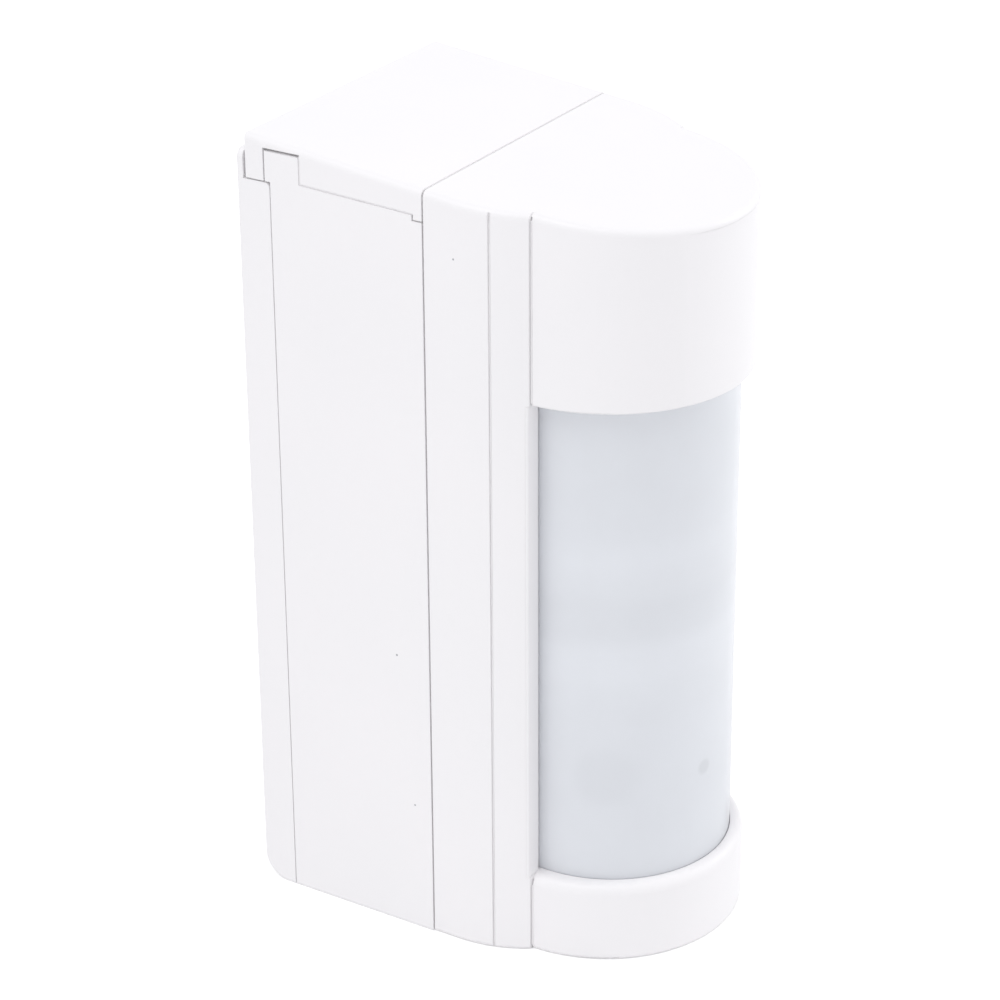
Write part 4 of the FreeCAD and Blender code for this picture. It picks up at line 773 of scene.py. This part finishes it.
def shown_ray(tree):
    """1 for rays from the camera, from gloss and through clear parts."""
    path = add_node(tree, "ShaderNodeLightPath")
    first = add_node(tree, "ShaderNodeMath", operation="MAXIMUM")
    second = add_node(tree, "ShaderNodeMath", operation="MAXIMUM")
    tree.links.new(path.outputs["Is Camera Ray"], first.inputs[0])
    tree.links.new(path.outputs["Is Glossy Ray"], first.inputs[1])
    tree.links.new(first.outputs[0], second.inputs[0])
    tree.links.new(path.outputs["Is Transmission Ray"], second.inputs[1])
    return second.outputs[0]


def floor_material(colour):
    """Pale floor that keeps the object's shadow and reads as white."""
    material = bpy.data.materials.new("studio_floor")
    material.use_nodes = True
    tree = material.node_tree
    tree.nodes.clear()
    out = add_node(tree, "ShaderNodeOutputMaterial")
    matt = add_node(tree, "ShaderNodeBsdfDiffuse")
    matt.inputs["Color"].default_value = (*colour, 1.0)
    glow = add_node(tree, "ShaderNodeEmission")
    glow.inputs["Color"].default_value = (1.0, 1.0, 1.0, 1.0)
    share = add_node(tree, "ShaderNodeMath", operation="MULTIPLY")
    share.inputs[1].default_value = 0.3
    tree.links.new(shown_ray(tree), share.inputs[0])
    tree.links.new(share.outputs[0], glow.inputs["Strength"])
    both = add_node(tree, "ShaderNodeAddShader")
    tree.links.new(matt.outputs[0], both.inputs[0])
    tree.links.new(glow.outputs[0], both.inputs[1])
    tree.links.new(both.outputs[0], out.inputs["Surface"])
    return material


def area_lamp(name, place, target, size, power):
    data = bpy.data.lights.new(name, "AREA")
    data.shape = "DISK"
    data.size = size
    data.energy = power
    lamp = bpy.data.objects.new(name, data)
    bpy.context.scene.collection.objects.link(lamp)
    lamp.location = place
    lamp.rotation_mode = "QUATERNION"
    lamp.rotation_quaternion = (Vector(target) - Vector(place)).to_track_quat("-Z", "Y")


class DETECTOR_OT_stage(bpy.types.Operator):
    """Build the pale floor, the soft light and the camera"""
    bl_idname = "detector.stage"
    bl_label = "Studio"

    def execute(self, context):
        studio = settings().detector_studio
        scene = context.scene
        scene.view_settings.view_transform = "Standard"

        work = bmesh.new()
        bmesh.ops.create_grid(work, x_segments=1, y_segments=1, size=30.0)
        floor = bpy.data.objects.new("studio_floor", mesh_from("studio_floor", work))
        floor.data.materials.append(floor_material(studio.floor_colour))
        floor.location.z = CAD_BOX[0].z - 0.0002
        scene.collection.objects.link(floor)

        world = bpy.data.worlds.new("studio_light")
        world.use_nodes = True
        scene.world = world
        tree = world.node_tree
        back = tree.nodes["Background"]
        back.inputs["Color"].default_value = (*studio.sky, 1.0)
        level = add_node(tree, "ShaderNodeMapRange")
        level.inputs["To Min"].default_value = studio.world
        level.inputs["To Max"].default_value = 1.0
        tree.links.new(shown_ray(tree), level.inputs["Value"])
        tree.links.new(level.outputs["Result"], back.inputs["Strength"])

        middle = (CAD_BOX[0] + CAD_BOX[1]) / 2
        area_lamp("key_lamp", (-0.8, 0.1, 1.7), middle, 1.2, studio.key)
        area_lamp("fill_lamp", (1.3, -1.1, 0.7), middle, 1.0, studio.fill)

        data = bpy.data.cameras.new("camera")
        data.lens = studio.lens
        data.sensor_width = 36.0
        data.clip_start = 0.05
        data.clip_end = 100.0
        camera = bpy.data.objects.new("camera", data)
        scene.collection.objects.link(camera)
        right = Vector(CAMERA_RIGHT)
        forward = Vector(CAMERA_FORWARD).normalized()
        right = (right - forward * right.dot(forward)).normalized()
        up = right.cross(forward)
        turn = Matrix((right, up, -forward)).transposed().to_4x4()
        camera.matrix_world = Matrix.Translation(CAMERA_PLACE) @ turn
        scene.camera = camera
        return {"FINISHED"}


OPERATORS = (
    DETECTOR_OT_housing, DETECTOR_OT_window, DETECTOR_OT_optics, DETECTOR_OT_electronics,
    DETECTOR_OT_fittings, DETECTOR_OT_batteries, DETECTOR_OT_stage,
)
GROUPS = {
    "detector_housing": HousingFinish,
    "detector_window": WindowFinish,
    "detector_lens": LensFinish,
    "detector_studio": StudioSettings,
}


class DETECTOR_PT_panel(bpy.types.Panel):
    """Lists the detector's finishes and the buttons that build them"""
    bl_idname = "DETECTOR_PT_panel"
    bl_label = "Motion detector"
    bl_space_type = "VIEW_3D"
    bl_region_type = "UI"
    bl_category = "Detector"

    def draw(self, context):
        for group, kind in GROUPS.items():
            box = self.layout.box()
            for name in kind.__annotations__:
                box.prop(getattr(context.scene, group), name)
        for operator in OPERATORS:
            self.layout.operator(operator.bl_idname)


def register():
    for kind in (*GROUPS.values(), *OPERATORS, DETECTOR_PT_panel):
        bpy.utils.register_class(kind)
    for name, kind in GROUPS.items():
        setattr(bpy.types.Scene, name, bpy.props.PointerProperty(type=kind))


def unregister():
    for name in GROUPS:
        delattr(bpy.types.Scene, name)
    for kind in (DETECTOR_PT_panel, *reversed(OPERATORS), *GROUPS.values()):
        bpy.utils.unregister_class(kind)


def main():
    register()
    bpy.ops.detector.housing()
    bpy.ops.detector.window()
    bpy.ops.detector.optics()
    bpy.ops.detector.electronics()
    bpy.ops.detector.fittings()
    bpy.ops.detector.batteries()
    bpy.ops.detector.stage()


if __name__ == "__main__":
    main()
